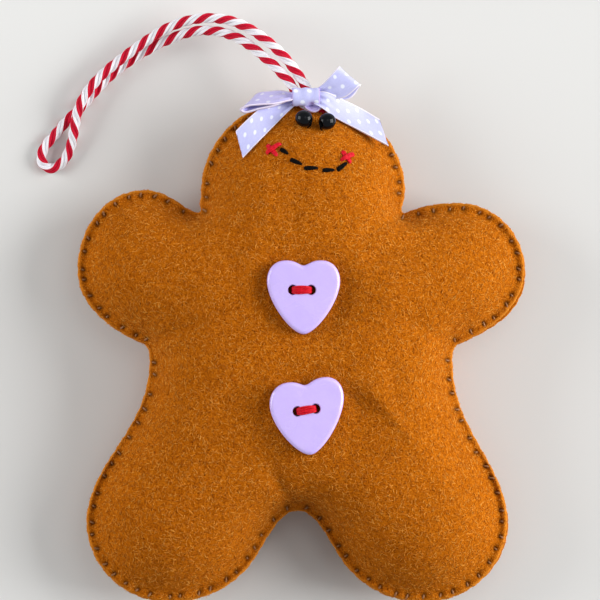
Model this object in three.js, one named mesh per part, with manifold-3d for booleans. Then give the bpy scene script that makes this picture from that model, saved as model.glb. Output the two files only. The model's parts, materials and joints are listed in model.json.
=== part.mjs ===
// Felt gingerbread ornament: two felt panels sewn edge to edge over a fibre filling, with heart buttons,
// bead eyes, an embroidered face, a tied ribbon bow and a twisted cord to hang it by.
// Millimetres, +Z up. It lies on its back: +Y points to the head, +X to the viewer's right.
// The origin is in the middle of the flat patch that the back rests on.
import * as THREE from "three";
import { mergeVertices } from "three/addons/utils/BufferGeometryUtils.js";
import Module from "manifold-3d";

const wasm = await Module();
wasm.setup();

// Felt, seam and filling
const FELT_THICKNESS = 1.2;
const SEAM_HEIGHT = 9.5; // table to the plane where the two panels meet
const SEAM_GAP = 0.3;
const SEAM_MARGIN = 1.6; // flat felt outside the filling
const FRONT_CROWN = 16; // swell of a fully plump front above its flat margin
const BACK_CROWN = 12;
const PLUMP_REACH = 12; // mean distance from the seam at which the filling is fully plump
const FIT = 0.3; // clearance between pieces that touch

// Paper pattern of the figure; each half runs from the head's top down to the crotch
const HEAD_MIDDLE_X = 0.5;
const HEAD_TOP_Y = 58.3;
const HEAD_SIDE_Y = 35.5;
const HEAD_WIDTH = 49;
const NECK_WIDTH = 47.8;
const NECK_Y = 30.1;
const ARM_TOP_SPACING = 75.2;
const ARM_TOP_Y = 34.45;
const ARM_TOP_LEAN = 1.55; // hand cut: the left arm's top is higher by this and the right one's lower
const ARM_SPAN = 107.3;
const ARM_TIP_Y = 16.8;
const ARMPIT_WIDTH = 73;
const ARMPIT_Y = -1.6;
const LEG_SPAN = 101.1;
const LEG_SIDE_Y = -43.2;
const LEG_LEAN = 1.0; // hand cut: both legs stand this far to the left
const FOOT_SPACING = 61.4;
const FOOT_Y = -62.9;
const INNER_LEG_WIDTH = 19.8;
const INNER_LEG_Y = -51.8;
const CROTCH_X = -0.8;
const CROTCH_Y = -41;
const NOTCH_TRIM = 1.8; // length over which the neck and armpit corners are rounded

// Mesh of the panels
const OUTLINE_STEP = 4;
const RISE_WIDTH = 1.9; // band of mesh just inside the margin, where the felt turns up
const GRID_STEP = 7.2;

// Seam thread, overcast round the edge of both panels
const SEAM_THREAD_RADIUS = 0.25;
const STITCH_PITCH = 3.45;
const STITCH_DEPTH = 1.2;

// Heart buttons and the thread that holds each of them
const BUTTON_WIDTH = 17.4;
const BUTTON_HEIGHT = 17.6;
const BUTTON_THICKNESS = 3;
const BUTTON_EDGE = 0.9;
const BUTTON_NOTCH = 1.2;
const BUTTON_HOLE_PITCH = 4.4;
const BUTTON_HOLE_RADIUS = 1.1;
const BUTTON_HOLE_RISE = 1.75; // holes above the middle of the heart
const BUTTON_THREAD_RADIUS = 0.5;
const UPPER_BUTTON = { at: [0.2, 12.0], turn: 0 };
const LOWER_BUTTON = { at: [1.3, -16.6], turn: THREE.MathUtils.degToRad(9) };

// Bead eyes
const BEAD_DIAMETER = 4;
const BEAD_LENGTH = 3.9;
const BEAD_BORE = 1.1;
const BEAD_THREAD_RADIUS = 0.3;
const BEAD_LEG_OFFSET = 0.55; // thread leg from the end of the bead
const LEFT_BEAD = { at: [0.7, 51.3], turn: THREE.MathUtils.degToRad(135) };
const RIGHT_BEAD = { at: [5.8, 50.7], turn: THREE.MathUtils.degToRad(45) };

// Embroidered face: each smile stitch from end to end, each cheek's four corners in sewing order
const FACE_THREAD_RADIUS = 0.35;
const NEEDLE_HOLE_CLEARANCE = 0.22;
const SMILE = [
  [[-4.7, 45.4], [-3.2, 44.5]],
  [[-2.6, 43.1], [0.1, 41.9]],
  [[0.9, 41.0], [3.9, 41.0]],
  [[5.1, 40.5], [7.5, 40.5]],
  [[8.9, 40.6], [10.5, 41.9]],
];
const LEFT_CHEEK = [[-8.2, 46.9], [-5.6, 43.8], [-8.4, 44.5], [-4.6, 46.9]];
const RIGHT_CHEEK = [[9.7, 45.4], [11.9, 42.1], [12.7, 44.3], [9.4, 43.0]];

// Hanger cord: where the loop starts, and the knot that holds both ends inside the head
const CORD_RADIUS = 1.15;
const CORD_HEIGHT = 2.2; // cord's middle above the flat felt margin
const CORD_HEADING = [-0.535, 0.845];
const CORD_ROOTS = [[-0.66, 63.6], [-3.0, 62.1]];
const CORD_INSIDE_Y = 52.8; // where the straight ends stop, inside the felt
const CORD_KNOT = [4.8, 49.2, 10.4];
const CORD_KNOT_RADIUS = 2.3;
// Lying loop, from the outer root round the eye and back to the inner root: x, y and height
const CORD_ROUTE = [
  [-4.3, 68.2, 12.7], [-8.1, 71.7, 11.8], [-12.6, 74.8, 10.6], [-17.6, 76.8, 9.3], [-23.0, 77.3, 7.9],
  [-28.4, 76.4, 6.6], [-33.4, 74.3, 5.5], [-38.4, 71.1, 4.6], [-43.2, 67.6, 4.1], [-47.4, 64.2, 3.9],
  [-50.9, 60.4, 3.9], [-53.4, 56.0, 3.9], [-54.5, 51.2, 3.0], [-55.3, 47.0, 1.9], [-57.2, 43.0, 1.25],
  [-60.2, 41.1, 1.25], [-62.6, 43.0, 1.25], [-61.9, 46.2, 1.25], [-59.4, 49.2, 1.25], [-56.4, 52.7, 1.25],
  [-52.9, 56.1, 1.25], [-49.4, 60.1, 1.25], [-45.6, 63.9, 1.3], [-40.6, 67.6, 1.7], [-35.4, 70.6, 2.9],
  [-30.2, 72.9, 4.6], [-24.8, 74.3, 6.5], [-19.4, 74.0, 8.3], [-14.4, 72.1, 10.0], [-10.2, 69.0, 11.5],
  [-6.6, 65.9, 12.6],
];

// Ribbon bow
const RIBBON_WIDTH = 6.2;
const RIBBON_THICKNESS = 0.4;
const RIBBON_LIFT = 0.75; // ribbon's middle above the felt that it lies on
const KNOT_MIDDLE = [1.2, 58.2];
const KNOT_LENGTH = 4.1;
const KNOT_THICKNESS = 3;
const TAIL_TILT = 0.5; // outer edge of the left tail below its inner edge
const RIGHT_TAIL_TILT = 3.2;
const RIGHT_TAIL_CLEAR = 1.7; // its outer edge above the felt margin

const COLOURS = {
  felt: "#b06416", filling: "#efe9dc", seam: "#4a2a10", button: "#d4c1fa", red: "#c3122a",
  black: "#141416", ribbon: "#cdcdfa",
};

function material(colour, roughness) {
  return new THREE.MeshStandardMaterial({ color: colour, roughness, metalness: 0 });
}

const vec = (x, y, z) => new THREE.Vector3(x, y, z);
const flat = ([x, y]) => new THREE.Vector2(x, y);

// Joins and cuts
function toSolid(geometry) {
  const bare = new THREE.BufferGeometry();
  bare.setAttribute("position", geometry.getAttribute("position").clone());
  if (geometry.index) bare.setIndex(geometry.index.clone());
  const merged = mergeVertices(bare, 1e-5);
  return new wasm.Manifold(new wasm.Mesh({
    numProp: 3,
    vertProperties: new Float32Array(merged.getAttribute("position").array),
    triVerts: new Uint32Array(merged.index.array),
  }));
}

function toGeometry(solid) {
  const mesh = solid.getMesh();
  const geometry = new THREE.BufferGeometry();
  geometry.setAttribute("position", new THREE.BufferAttribute(new Float32Array(mesh.vertProperties), 3));
  geometry.setIndex(new THREE.BufferAttribute(new Uint32Array(mesh.triVerts), 1));
  return geometry;
}

function joined(geometries) {
  return toGeometry(geometries.map(toSolid).reduce((whole, next) => whole.add(next)));
}

function cut(geometry, tools) {
  return toGeometry(tools.map(toSolid).reduce((rest, tool) => rest.subtract(tool), toSolid(geometry)));
}

// Outline of the figure
function halfPattern(side) {
  const round = 0.5523; // handle share of a quarter ellipse
  const top = flat([HEAD_MIDDLE_X, HEAD_TOP_Y]);
  const cheek = flat([HEAD_MIDDLE_X + side * HEAD_WIDTH / 2, HEAD_SIDE_Y]);
  const neck = flat([side * NECK_WIDTH / 2, NECK_Y]);
  const shoulder = flat([side * ARM_TOP_SPACING / 2, ARM_TOP_Y - side * ARM_TOP_LEAN]);
  const hand = flat([side * ARM_SPAN / 2, ARM_TIP_Y]);
  const armpit = flat([side * ARMPIT_WIDTH / 2, ARMPIT_Y]);
  const calf = flat([side * LEG_SPAN / 2 - LEG_LEAN, LEG_SIDE_Y]);
  const foot = flat([side * FOOT_SPACING / 2 - LEG_LEAN, FOOT_Y]);
  const inner = flat([CROTCH_X + side * INNER_LEG_WIDTH / 2, INNER_LEG_Y]);
  const crotch = flat([CROTCH_X, CROTCH_Y]);
  const off = (point, dx, dy) => flat([point.x + side * dx, point.y + dy]);
  const quarter = (from, to, levelFirst) => {
    const first = levelFirst ? flat([to.x, from.y]) : flat([from.x, to.y]);
    return new THREE.CubicBezierCurve(
      from, from.clone().lerp(first, round), to.clone().lerp(first, round), to);
  };
  const neckHead = off(neck, 0.15 * NOTCH_TRIM, NOTCH_TRIM);
  const neckArm = off(neck, 0.93 * NOTCH_TRIM, 0.36 * NOTCH_TRIM);
  const pitArm = off(armpit, 0.92 * NOTCH_TRIM, 0.4 * NOTCH_TRIM);
  const pitFlank = off(armpit, -0.05 * NOTCH_TRIM, -NOTCH_TRIM);
  return [
    quarter(top, cheek, true),
    new THREE.CubicBezierCurve(cheek, off(cheek, 0, -1.6), off(neckHead, 0.3, 1.2), neckHead),
    new THREE.QuadraticBezierCurve(neckHead, neck, neckArm),
    new THREE.CubicBezierCurve(neckArm, off(neckArm, 3.2, 1.3), off(shoulder, -5.5, 0), shoulder),
    quarter(shoulder, hand, true),
    new THREE.CubicBezierCurve(hand, off(hand, 0, -9.2), off(pitArm, 6.6, 2.9), pitArm),
    new THREE.QuadraticBezierCurve(pitArm, armpit, pitFlank),
    new THREE.CubicBezierCurve(pitFlank, off(pitFlank, -0.8, -18), off(calf, -1.2, 15.5), calf),
    quarter(calf, foot, false),
    new THREE.CubicBezierCurve(foot, off(foot, -9.5, 0), off(inner, 4.2, -6.6), inner),
    new THREE.CubicBezierCurve(inner, off(inner, -2.6, 4.1), off(crotch, 4.3, 0), crotch),
  ];
}

// Counter-clockwise points: down the left half, then up the right half
function outlinePoints(step) {
  const along = (side) => halfPattern(side).flatMap((curve) => {
    const pieces = Math.max(1, Math.round(curve.getLength() / step));
    return curve.getSpacedPoints(pieces).slice(0, -1);
  });
  const left = along(-1);
  const right = along(1);
  return [...left, flat([CROTCH_X, CROTCH_Y]), ...right.slice(1).reverse()];
}

const OUTLINE = outlinePoints(OUTLINE_STEP);

function inward(points, index) {
  const count = points.length;
  const along = points[(index + 1) % count].clone().sub(points[(index + count - 1) % count]).normalize();
  return flat([-along.y, along.x]);
}

function insetRing(points, distance) {
  return points.map((point, i) => point.clone().addScaledVector(inward(points, i), distance));
}

function isInside(polygon, point) {
  let inside = false;
  polygon.forEach((a, i) => {
    const b = polygon[(i + 1) % polygon.length];
    const crosses = (a.y > point.y) !== (b.y > point.y);
    if (crosses && point.x < a.x + (point.y - a.y) / (b.y - a.y) * (b.x - a.x)) inside = !inside;
  });
  return inside;
}

// Distance to the seam as the harmonic mean over all directions; it is smooth and is 0 on the seam
function seamDistance(x, y) {
  let weight = 0;
  OUTLINE.forEach((a, i) => {
    const b = OUTLINE[(i + 1) % OUTLINE.length];
    const [ax, ay, bx, by] = [a.x - x, a.y - y, b.x - x, b.y - y];
    const [ra, rb] = [Math.hypot(ax, ay), Math.hypot(bx, by)];
    const cross = ax * by - ay * bx;
    if (Math.abs(cross) < 1e-9) return;
    weight += (ra * rb - ax * bx - ay * by) / cross * (1 / ra + 1 / rb);
  });
  return weight > 0 ? 2 / weight : 0;
}

// Share of the full swell: 0 on the margin, 1 where the filling is fully plump
function swell(x, y) {
  if (!isInside(OUTLINE, flat([x, y]))) return 0;
  const share = THREE.MathUtils.clamp((seamDistance(x, y) - SEAM_MARGIN) / PLUMP_REACH, 0, 1);
  return share * (2 - share);
}

const MARGIN_TOP = SEAM_HEIGHT + SEAM_GAP / 2 + FELT_THICKNESS;
const MARGIN_UNDER = SEAM_HEIGHT - SEAM_GAP / 2 - FELT_THICKNESS;
const frontHeight = (x, y) => MARGIN_TOP + FRONT_CROWN * swell(x, y);
const backHeight = (x, y) => Math.max(0, MARGIN_UNDER - BACK_CROWN * swell(x, y));

function surfaceNormal(height, x, y) {
  const step = 0.25;
  const slopeX = (height(x + step, y) - height(x - step, y)) / (2 * step);
  const slopeY = (height(x, y + step) - height(x, y - step)) / (2 * step);
  return vec(-slopeX, -slopeY, 1).normalize();
}

// Flat mesh of the pattern: rings along the edge, then an even grid joined by Delaunay triangles
function delaunay(points) {
  const far = 1e4;
  const count = points.length;
  const all = [...points, flat([-far, -far]), flat([far, -far]), flat([0, far])];
  const holds = ([i, j, k], p) => {
    const [a, b, c] = [all[i], all[j], all[k]].map((q) => q.clone().sub(p));
    return a.lengthSq() * b.cross(c) + b.lengthSq() * c.cross(a) + c.lengthSq() * a.cross(b) > 1e-7;
  };
  let triangles = [[count, count + 1, count + 2]];
  points.forEach((point, index) => {
    const border = new Map();
    triangles = triangles.filter((triangle) => {
      if (!holds(triangle, point)) return true;
      triangle.forEach((a, corner) => {
        const b = triangle[(corner + 1) % 3];
        if (!border.delete(`${b}_${a}`)) border.set(`${a}_${b}`, [a, b]);
      });
      return false;
    });
    border.forEach(([a, b]) => triangles.push([a, b, index]));
  });
  return triangles.filter((triangle) => triangle.every((corner) => corner < count));
}

function gridPoints(border, clear) {
  const box = new THREE.Box2().setFromPoints(border);
  const points = [];
  const rise = GRID_STEP * Math.sqrt(3) / 2;
  for (let row = 0; box.min.y + row * rise < box.max.y; row += 1) {
    const shift = row % 2 ? 0.27 : 0.75;
    for (let x = box.min.x + shift * GRID_STEP; x < box.max.x; x += GRID_STEP) {
      const point = flat([x, box.min.y + row * rise]);
      const near = border.some((other) => other.distanceTo(point) < clear);
      if (!near && isInside(border, point)) points.push(point);
    }
  }
  return points;
}

const EDGE = OUTLINE;
const FOLD = insetRing(OUTLINE, SEAM_MARGIN);
const RISE = insetRing(OUTLINE, SEAM_MARGIN + RISE_WIDTH);
const FIELD = [...RISE, ...gridPoints(RISE, 0.62 * GRID_STEP)];
const FIELD_FACES = delaunay(FIELD).filter((face) => {
  const middle = face.reduce((sum, i) => sum.add(FIELD[i]), flat([0, 0])).divideScalar(3);
  return isInside(RISE, middle);
});

// Closed skin between an upper and a lower sheet of points that share their faces
function sheetSolid(upper, lower, faces, rim) {
  const count = upper.length;
  const index = faces.flatMap(([a, b, c]) => [a, b, c, count + a, count + c, count + b]);
  rim.forEach((a, i) => {
    const b = rim[(i + 1) % rim.length];
    index.push(a, count + a, b, b, count + a, count + b);
  });
  const geometry = new THREE.BufferGeometry().setFromPoints([...upper, ...lower]);
  geometry.setIndex(index);
  return geometry;
}

// Points of one felt face: depth 0 is the outside, more is deeper into the felt
function feltSheet(height, outward, depth) {
  const marginZ = height(OUTLINE[0].x, OUTLINE[0].y) - outward * depth;
  const level = [...EDGE, ...FOLD].map((p) => vec(p.x, p.y, marginZ));
  return [...level, ...fieldSheet(height, outward, depth)];
}

function fieldSheet(height, outward, depth) {
  return FIELD.map((p) => {
    const normal = surfaceNormal(height, p.x, p.y);
    return vec(p.x, p.y, height(p.x, p.y)).addScaledVector(normal, -outward * depth);
  });
}

function feltFaces() {
  const n = EDGE.length;
  const faces = FIELD_FACES.map((face) => face.map((i) => i + 2 * n));
  for (let ring = 0; ring < 2; ring += 1) {
    for (let i = 0; i < n; i += 1) {
      const [a, b] = [ring * n + i, ring * n + (i + 1) % n];
      faces.push([a, b, b + n], [a, b + n, a + n]);
    }
  }
  return faces;
}

// Sewn-on pieces: a frame on the front felt, its z axis along the felt's outward normal
function seat([x, y], turn = 0) {
  const normal = surfaceNormal(frontHeight, x, y);
  const across = vec(Math.cos(turn), Math.sin(turn), 0);
  across.addScaledVector(normal, -across.dot(normal)).normalize();
  const up = normal.clone().cross(across);
  const frame = new THREE.Matrix4().makeBasis(across, up, normal);
  return frame.setPosition(x, y, frontHeight(x, y));
}

// Least height of a flat-backed piece of this radius over its seat
function restHeight(frame, radius) {
  let height = 0;
  for (let turn = 0; turn < 16; turn += 1) {
    const angle = turn * Math.PI / 8;
    const point = vec(radius * Math.cos(angle), radius * Math.sin(angle), 0).applyMatrix4(frame);
    height = Math.max(height, frontHeight(point.x, point.y) - point.z);
  }
  return height + FIT;
}

function surfacePoint([x, y], height) {
  return vec(x, y, frontHeight(x, y)).addScaledVector(surfaceNormal(frontHeight, x, y), height);
}

function closedThread(points, radius, steps, sides = 5) {
  const route = new THREE.CatmullRomCurve3(points, true, "centripetal");
  return new THREE.TubeGeometry(route, steps, radius, sides, true);
}

function openThread(points, radius, steps, sides) {
  const section = new THREE.Shape();
  for (let i = 0; i < sides; i += 1) {
    const angle = 2 * Math.PI * i / sides;
    const corner = [radius * Math.cos(angle), radius * Math.sin(angle)];
    if (i === 0) section.moveTo(...corner);
    else section.lineTo(...corner);
  }
  const route = new THREE.CatmullRomCurve3(points, false, "centripetal");
  return new THREE.ExtrudeGeometry(section, { steps, extrudePath: route, bevelEnabled: false });
}

// Rod from one point to another, for holes
function rod(from, to, radius, sides) {
  const geometry = new THREE.CylinderGeometry(radius, radius, from.distanceTo(to), sides);
  const turn = new THREE.Quaternion().setFromUnitVectors(vec(0, 1, 0), to.clone().sub(from).normalize());
  geometry.applyQuaternion(turn);
  const middle = from.clone().lerp(to, 0.5);
  return geometry.translate(middle.x, middle.y, middle.z);
}

const UNDER_FELT = -(FELT_THICKNESS + FIT + 0.6); // top of a thread's run under the front felt

function needleHole(place, radius) {
  return rod(surfacePoint(place, 1), surfacePoint(place, UNDER_FELT), radius + NEEDLE_HOLE_CLEARANCE, 6);
}

// Heart buttons
function heartShape() {
  const [half, top] = [BUTTON_WIDTH / 2, BUTTON_HEIGHT / 2];
  const lobe = 0.48 * half;
  const side = 0.44 * top;
  const shape = new THREE.Shape();
  shape.moveTo(0, top - BUTTON_NOTCH);
  shape.bezierCurveTo(-0.12 * half, top - BUTTON_NOTCH, -0.2 * half, top, -lobe, top);
  shape.bezierCurveTo(-0.8 * half, top, -half, 0.76 * top, -half, side);
  shape.bezierCurveTo(-half, -0.12 * top, -0.34 * half, -top, 0, -top);
  shape.bezierCurveTo(0.34 * half, -top, half, -0.12 * top, half, side);
  shape.bezierCurveTo(half, 0.76 * top, 0.8 * half, top, lobe, top);
  shape.bezierCurveTo(0.2 * half, top, 0.12 * half, top - BUTTON_NOTCH, 0, top - BUTTON_NOTCH);
  return shape;
}

function buttonSet({ at, turn }) {
  const frame = seat(at, turn);
  const back = restHeight(frame, BUTTON_WIDTH / 2);
  const front = back + BUTTON_THICKNESS;
  const heart = new THREE.ExtrudeGeometry(heartShape(), {
    depth: BUTTON_THICKNESS - 2 * BUTTON_EDGE, bevelThickness: BUTTON_EDGE, bevelSize: BUTTON_EDGE,
    bevelOffset: -BUTTON_EDGE, bevelSegments: 2, curveSegments: 6,
  });
  heart.translate(0, -BUTTON_HOLE_RISE, back + BUTTON_EDGE);
  const reach = BUTTON_HOLE_PITCH / 2;
  const holes = [-reach, reach].map((x) =>
    rod(vec(x, 0, back - 1), vec(x, 0, front + 1), BUTTON_HOLE_RADIUS, 12));
  const r = BUTTON_THREAD_RADIUS;
  const [over, under] = [front + 0.5 * FIT + r, UNDER_FELT - r];
  const loop = [
    [-0.75 * reach, over], [0, over], [0.75 * reach, over], [reach, over - r], [reach, over - 1.6],
    [reach, under + 1.2], [reach, under + r], [0.75 * reach, under], [0, under], [-0.75 * reach, under],
    [-reach, under + r], [-reach, under + 1.2], [-reach, over - 1.6], [-reach, over - r],
  ].map(([x, z]) => vec(x, 0, z));
  return {
    frame,
    button: cut(heart, holes).applyMatrix4(frame),
    thread: closedThread(loop, r, 40).applyMatrix4(frame),
    needleHoles: [-reach, reach].map((x) => rod(
      vec(x, 0, 1.2).applyMatrix4(frame), vec(x, 0, UNDER_FELT - 0.4).applyMatrix4(frame),
      r + NEEDLE_HOLE_CLEARANCE, 6)),
    relief: closedThread(loop, r + FIT, 24, 4).applyMatrix4(frame),
  };
}

// Bead eyes, threaded along the local x axis
function beadSet({ at, turn }) {
  const frame = seat(at, turn);
  const middle = BEAD_DIAMETER / 2 + restHeight(frame, BEAD_LENGTH / 4);
  const bore = BEAD_BORE / 2;
  const span = Math.acos(bore / (BEAD_DIAMETER / 2));
  const profile = [];
  for (let i = 0; i <= 8; i += 1) {
    const angle = span * (i / 4 - 1);
    const along = BEAD_LENGTH / 2 * Math.sin(angle) / Math.sin(span);
    profile.push(flat([BEAD_DIAMETER / 2 * Math.cos(angle), along]));
  }
  profile.push(profile[0].clone());
  const bead = new THREE.LatheGeometry(profile, 14);
  bead.rotateZ(-Math.PI / 2).translate(0, 0, middle);
  const r = BEAD_THREAD_RADIUS;
  const leg = BEAD_LENGTH / 2 + BEAD_LEG_OFFSET;
  const under = UNDER_FELT - r;
  const felt = [-leg, leg].map((x) => {
    const point = vec(x, 0, 0).applyMatrix4(frame);
    return (frontHeight(point.x, point.y) - point.z) * frame.elements[10];
  });
  const half = (side, drop) => [
    [side * (leg - 0.35), middle], [side * leg, middle - 0.45], [side * leg, drop + 0.3],
    [side * leg, drop + under + 0.5], [side * (leg - 0.3), drop + under],
  ];
  const loop = [...half(-1, felt[0]).reverse(), [0, middle], ...half(1, felt[1]),
    [0, Math.min(felt[0], felt[1]) + under]];
  const route = loop.map(([x, z]) => vec(x, 0, z));
  return {
    frame,
    middle: vec(0, 0, middle).applyMatrix4(frame),
    bead: bead.applyMatrix4(frame),
    thread: closedThread(route, r, 34).applyMatrix4(frame),
    needleHoles: [-leg, leg].map((x, i) => rod(
      vec(x, 0, felt[i] + 1.2).applyMatrix4(frame), vec(x, 0, felt[i] + under).applyMatrix4(frame),
      r + NEEDLE_HOLE_CLEARANCE, 6)),
    relief: closedThread(route, r + FIT, 24, 4).applyMatrix4(frame),
  };
}

// Embroidery
function stitchPoints([from, to], over) {
  const r = FACE_THREAD_RADIUS;
  const [a, b] = [flat(from), flat(to)];
  const inset = b.clone().sub(a).setLength(1.1 * r);
  const lift = FIT + r;
  const at = (p, height) => surfacePoint([p.x, p.y], height);
  return [
    at(a, UNDER_FELT - r), at(a, -0.5 * FELT_THICKNESS), at(a.clone().add(inset), lift),
    at(a.clone().lerp(b, 0.5), lift + over), at(b.clone().sub(inset), lift),
    at(b, -0.5 * FELT_THICKNESS), at(b, UNDER_FELT - r),
  ];
}

function smileThread(radius, sides) {
  const route = SMILE.flatMap((stitch) => stitchPoints(stitch, 0));
  return openThread(route, radius, 70, sides);
}

function cheekThread([a, b, c, d], radius, steps, sides) {
  const hop = 2 * FACE_THREAD_RADIUS + FIT;
  const route = [...stitchPoints([a, b], 0), ...stitchPoints([c, d], hop)];
  return closedThread(route, radius, steps, sides);
}

// Hanger
const CORD_Z = MARGIN_TOP + CORD_HEIGHT;
const cordRoots = CORD_ROOTS.map(([x, y]) => vec(x, y, CORD_Z));
const heading = vec(CORD_HEADING[0], CORD_HEADING[1], 0).normalize();
const cordInners = cordRoots.map((root) =>
  root.clone().addScaledVector(heading, (CORD_INSIDE_Y - root.y) / heading.y));

function cordEnds(extra) {
  const r = CORD_RADIUS + extra;
  const knot = vec(...CORD_KNOT);
  const ball = new THREE.SphereGeometry(CORD_KNOT_RADIUS + extra, 12, 8).translate(knot.x, knot.y, knot.z);
  const strands = cordRoots.map((root, i) => {
    const start = root.clone().addScaledVector(heading, -(CORD_RADIUS + FIT));
    const straight = start.clone().lerp(cordInners[i], 0.5);
    return openThread([start, straight, cordInners[i], knot], r, 10, 8);
  });
  return joined([...strands, ball]);
}

// Free loop, with a ball end at each root so that it can be lifted about both roots
function cordLoop() {
  const [outer, inner] = cordRoots;
  const route = [outer, ...CORD_ROUTE.map((p) => vec(...p)), inner];
  const tube = openThread(route, CORD_RADIUS, 62, 8);
  const balls = cordRoots.map((root) => new THREE.SphereGeometry(CORD_RADIUS * 1.01, 8, 6)
    .translate(root.x, root.y, root.z));
  return joined([tube, ...balls]);
}

function cordHoles() {
  return cordInners.map((inner) => rod(
    inner.clone().addScaledVector(heading, 5.2), inner.clone().addScaledVector(heading, -1),
    CORD_RADIUS + FIT, 10));
}

// Ribbon between two edge routes, closed at both ends
function ribbon(edgeA, edgeB, steps) {
  const along = [edgeA, edgeB].map((edge) => new THREE.CatmullRomCurve3(edge).getPoints(steps));
  const points = [];
  const index = [];
  for (let i = 0; i <= steps; i += 1) {
    const [a, b] = [along[0][i], along[1][i]];
    const [i0, i1] = [Math.max(0, i - 1), Math.min(steps, i + 1)];
    const ahead = along[0][i1].clone().add(along[1][i1]).sub(along[0][i0]).sub(along[1][i0]);
    const out = ahead.cross(b.clone().sub(a)).setLength(RIBBON_THICKNESS / 2);
    points.push(a.clone().add(out), b.clone().add(out), b.clone().sub(out), a.clone().sub(out));
  }
  for (let i = 0; i < steps; i += 1) {
    for (let k = 0; k < 4; k += 1) {
      const [p, q] = [4 * i + k, 4 * i + (k + 1) % 4];
      index.push(p, p + 4, q, q, p + 4, q + 4);
    }
  }
  const last = 4 * steps;
  index.push(0, 1, 2, 0, 2, 3, last, last + 2, last + 1, last, last + 3, last + 2);
  return new THREE.BufferGeometry().setFromPoints(points).setIndex(index);
}

const KNOT_BASE = CORD_Z + CORD_RADIUS + FIT;
const KNOT_Z = KNOT_BASE + KNOT_THICKNESS / 2;

function bowKnot() {
  const section = new THREE.Shape();
  section.absellipse(0, 0, KNOT_LENGTH / 2, KNOT_THICKNESS / 2, 0, 2 * Math.PI, false, 0);
  const knot = new THREE.ExtrudeGeometry(section,
    { depth: RIBBON_WIDTH, bevelEnabled: false, curveSegments: 7 });
  knot.translate(0, 0, -RIBBON_WIDTH / 2).rotateX(Math.PI / 2).rotateZ(Math.PI / 2);
  return knot.translate(KNOT_MIDDLE[0], KNOT_MIDDLE[1], KNOT_Z);
}

// Ribbon behind the cord, from one end of the knot to the other
function bowStrap() {
  const low = CORD_Z - CORD_RADIUS - FIT - RIBBON_THICKNESS / 2;
  const [left, right] = [-4.4, 4.1];
  const route = [
    [-1.2, KNOT_Z], [left + 1.6, KNOT_Z - 0.1], [left, CORD_Z + 1.1], [left, CORD_Z - 0.4],
    [left + 1.1, low], [0, low], [right - 1.1, low], [right, CORD_Z - 0.4], [right, CORD_Z + 1.1],
    [3.0, KNOT_Z],
  ];
  return ribbon(route.map(([x, z]) => vec(x, 59.5, z)), route.map(([x, z]) => vec(x, 60.9, z)), 24);
}

// Left loop stands nearly on edge; its two layers part towards the tip
function leftLoop() {
  const lean = vec(0, -0.42, 0.9).normalize();
  const part = vec(0, 0.9, 0.42).normalize();
  const base = vec(KNOT_MIDDLE[0] - RIBBON_WIDTH / 2 + 0.7, KNOT_MIDDLE[1], KNOT_Z);
  // Distance from the knot, offset of the layer, share of the full width
  const route = [
    [0, 0.2, 0.36], [2.2, 0.6, 0.55], [5, 0.85, 1], [8.5, 0.9, 1], [11.6, 0.7, 1], [13.2, -0.1, 1],
    [12.2, -1.2, 1], [9, -1.0, 1], [5.2, -0.7, 1], [2.2, -0.5, 0.5], [0, -0.3, 0.3],
  ];
  const edge = (side) => route.map(([far, offset, share]) => base.clone()
    .add(vec(-far, -0.115 * far, 0.06 * far)).addScaledVector(part, offset)
    .addScaledVector(lean, side * share * RIBBON_WIDTH / 2));
  return ribbon(edge(1), edge(-1), 26);
}

// Right loop lies flat, its fold at the upper right
function rightLoop() {
  const z = KNOT_Z;
  const upper = [
    [3.6, 58.9, z + 0.4], [5.2, 60.8, z + 1.2], [7.0, 63.1, z + 1.7], [8.8, 65.2, z + 1.2],
    [9.0, 65.3, z - 0.3], [7.2, 63.2, z - 1.2], [5.2, 60.8, z - 0.7], [3.6, 58.5, z - 0.3],
  ];
  const lower = [
    [3.6, 57.9, z + 0.4], [7.6, 57.7, z + 1.1], [10.9, 58.4, z + 1.7], [13.9, 60.9, z + 1.2],
    [14.2, 60.8, z - 0.3], [11.6, 57.9, z - 1.2], [7.4, 57.4, z - 0.7], [3.6, 57.5, z - 0.3],
  ];
  return ribbon(upper.map((p) => vec(...p)), lower.map((p) => vec(...p)), 22);
}

function leftTail() {
  const inner = [[-0.6, 57.0], [-3.2, 54.6], [-7, 50.7], [-10.8, 46.8], [-13.9, 43.5]];
  const outer = [[-0.6, 58.2], [-5.0, 57.4], [-8.9, 56.1], [-12.5, 53.1], [-15.6, 50.0]];
  const rise = inner.map(([x, y]) => Math.max(KNOT_Z - 0.6, frontHeight(x, y) + RIBBON_LIFT));
  return ribbon(inner.map(([x, y], i) => vec(x, y, rise[i])),
    outer.map(([x, y], i) => vec(x, y, rise[i] - (i ? TAIL_TILT : 0))), 14);
}

function rightTail() {
  const inner = [[3.0, 57.0], [5.4, 55.6], [8.0, 53.3], [14.5, 49.9], [20.9, 46.5]];
  const outer = [[3.0, 58.2], [6.8, 58.6], [10.1, 57.5], [14.6, 55.3], [18.8, 52.8]];
  const tilt = [0, 0.25, 0.7, 1, 1].map((share) => share * RIGHT_TAIL_TILT);
  const rise = inner.map(([x, y], i) => Math.max(KNOT_Z - 0.5 * i, frontHeight(x, y) + RIBBON_LIFT,
    MARGIN_TOP + RIGHT_TAIL_CLEAR + tilt[i]));
  return ribbon(inner.map(([x, y], i) => vec(x, y, rise[i])),
    outer.map(([x, y], i) => vec(x, y, rise[i] - tilt[i])), 14);
}

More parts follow.
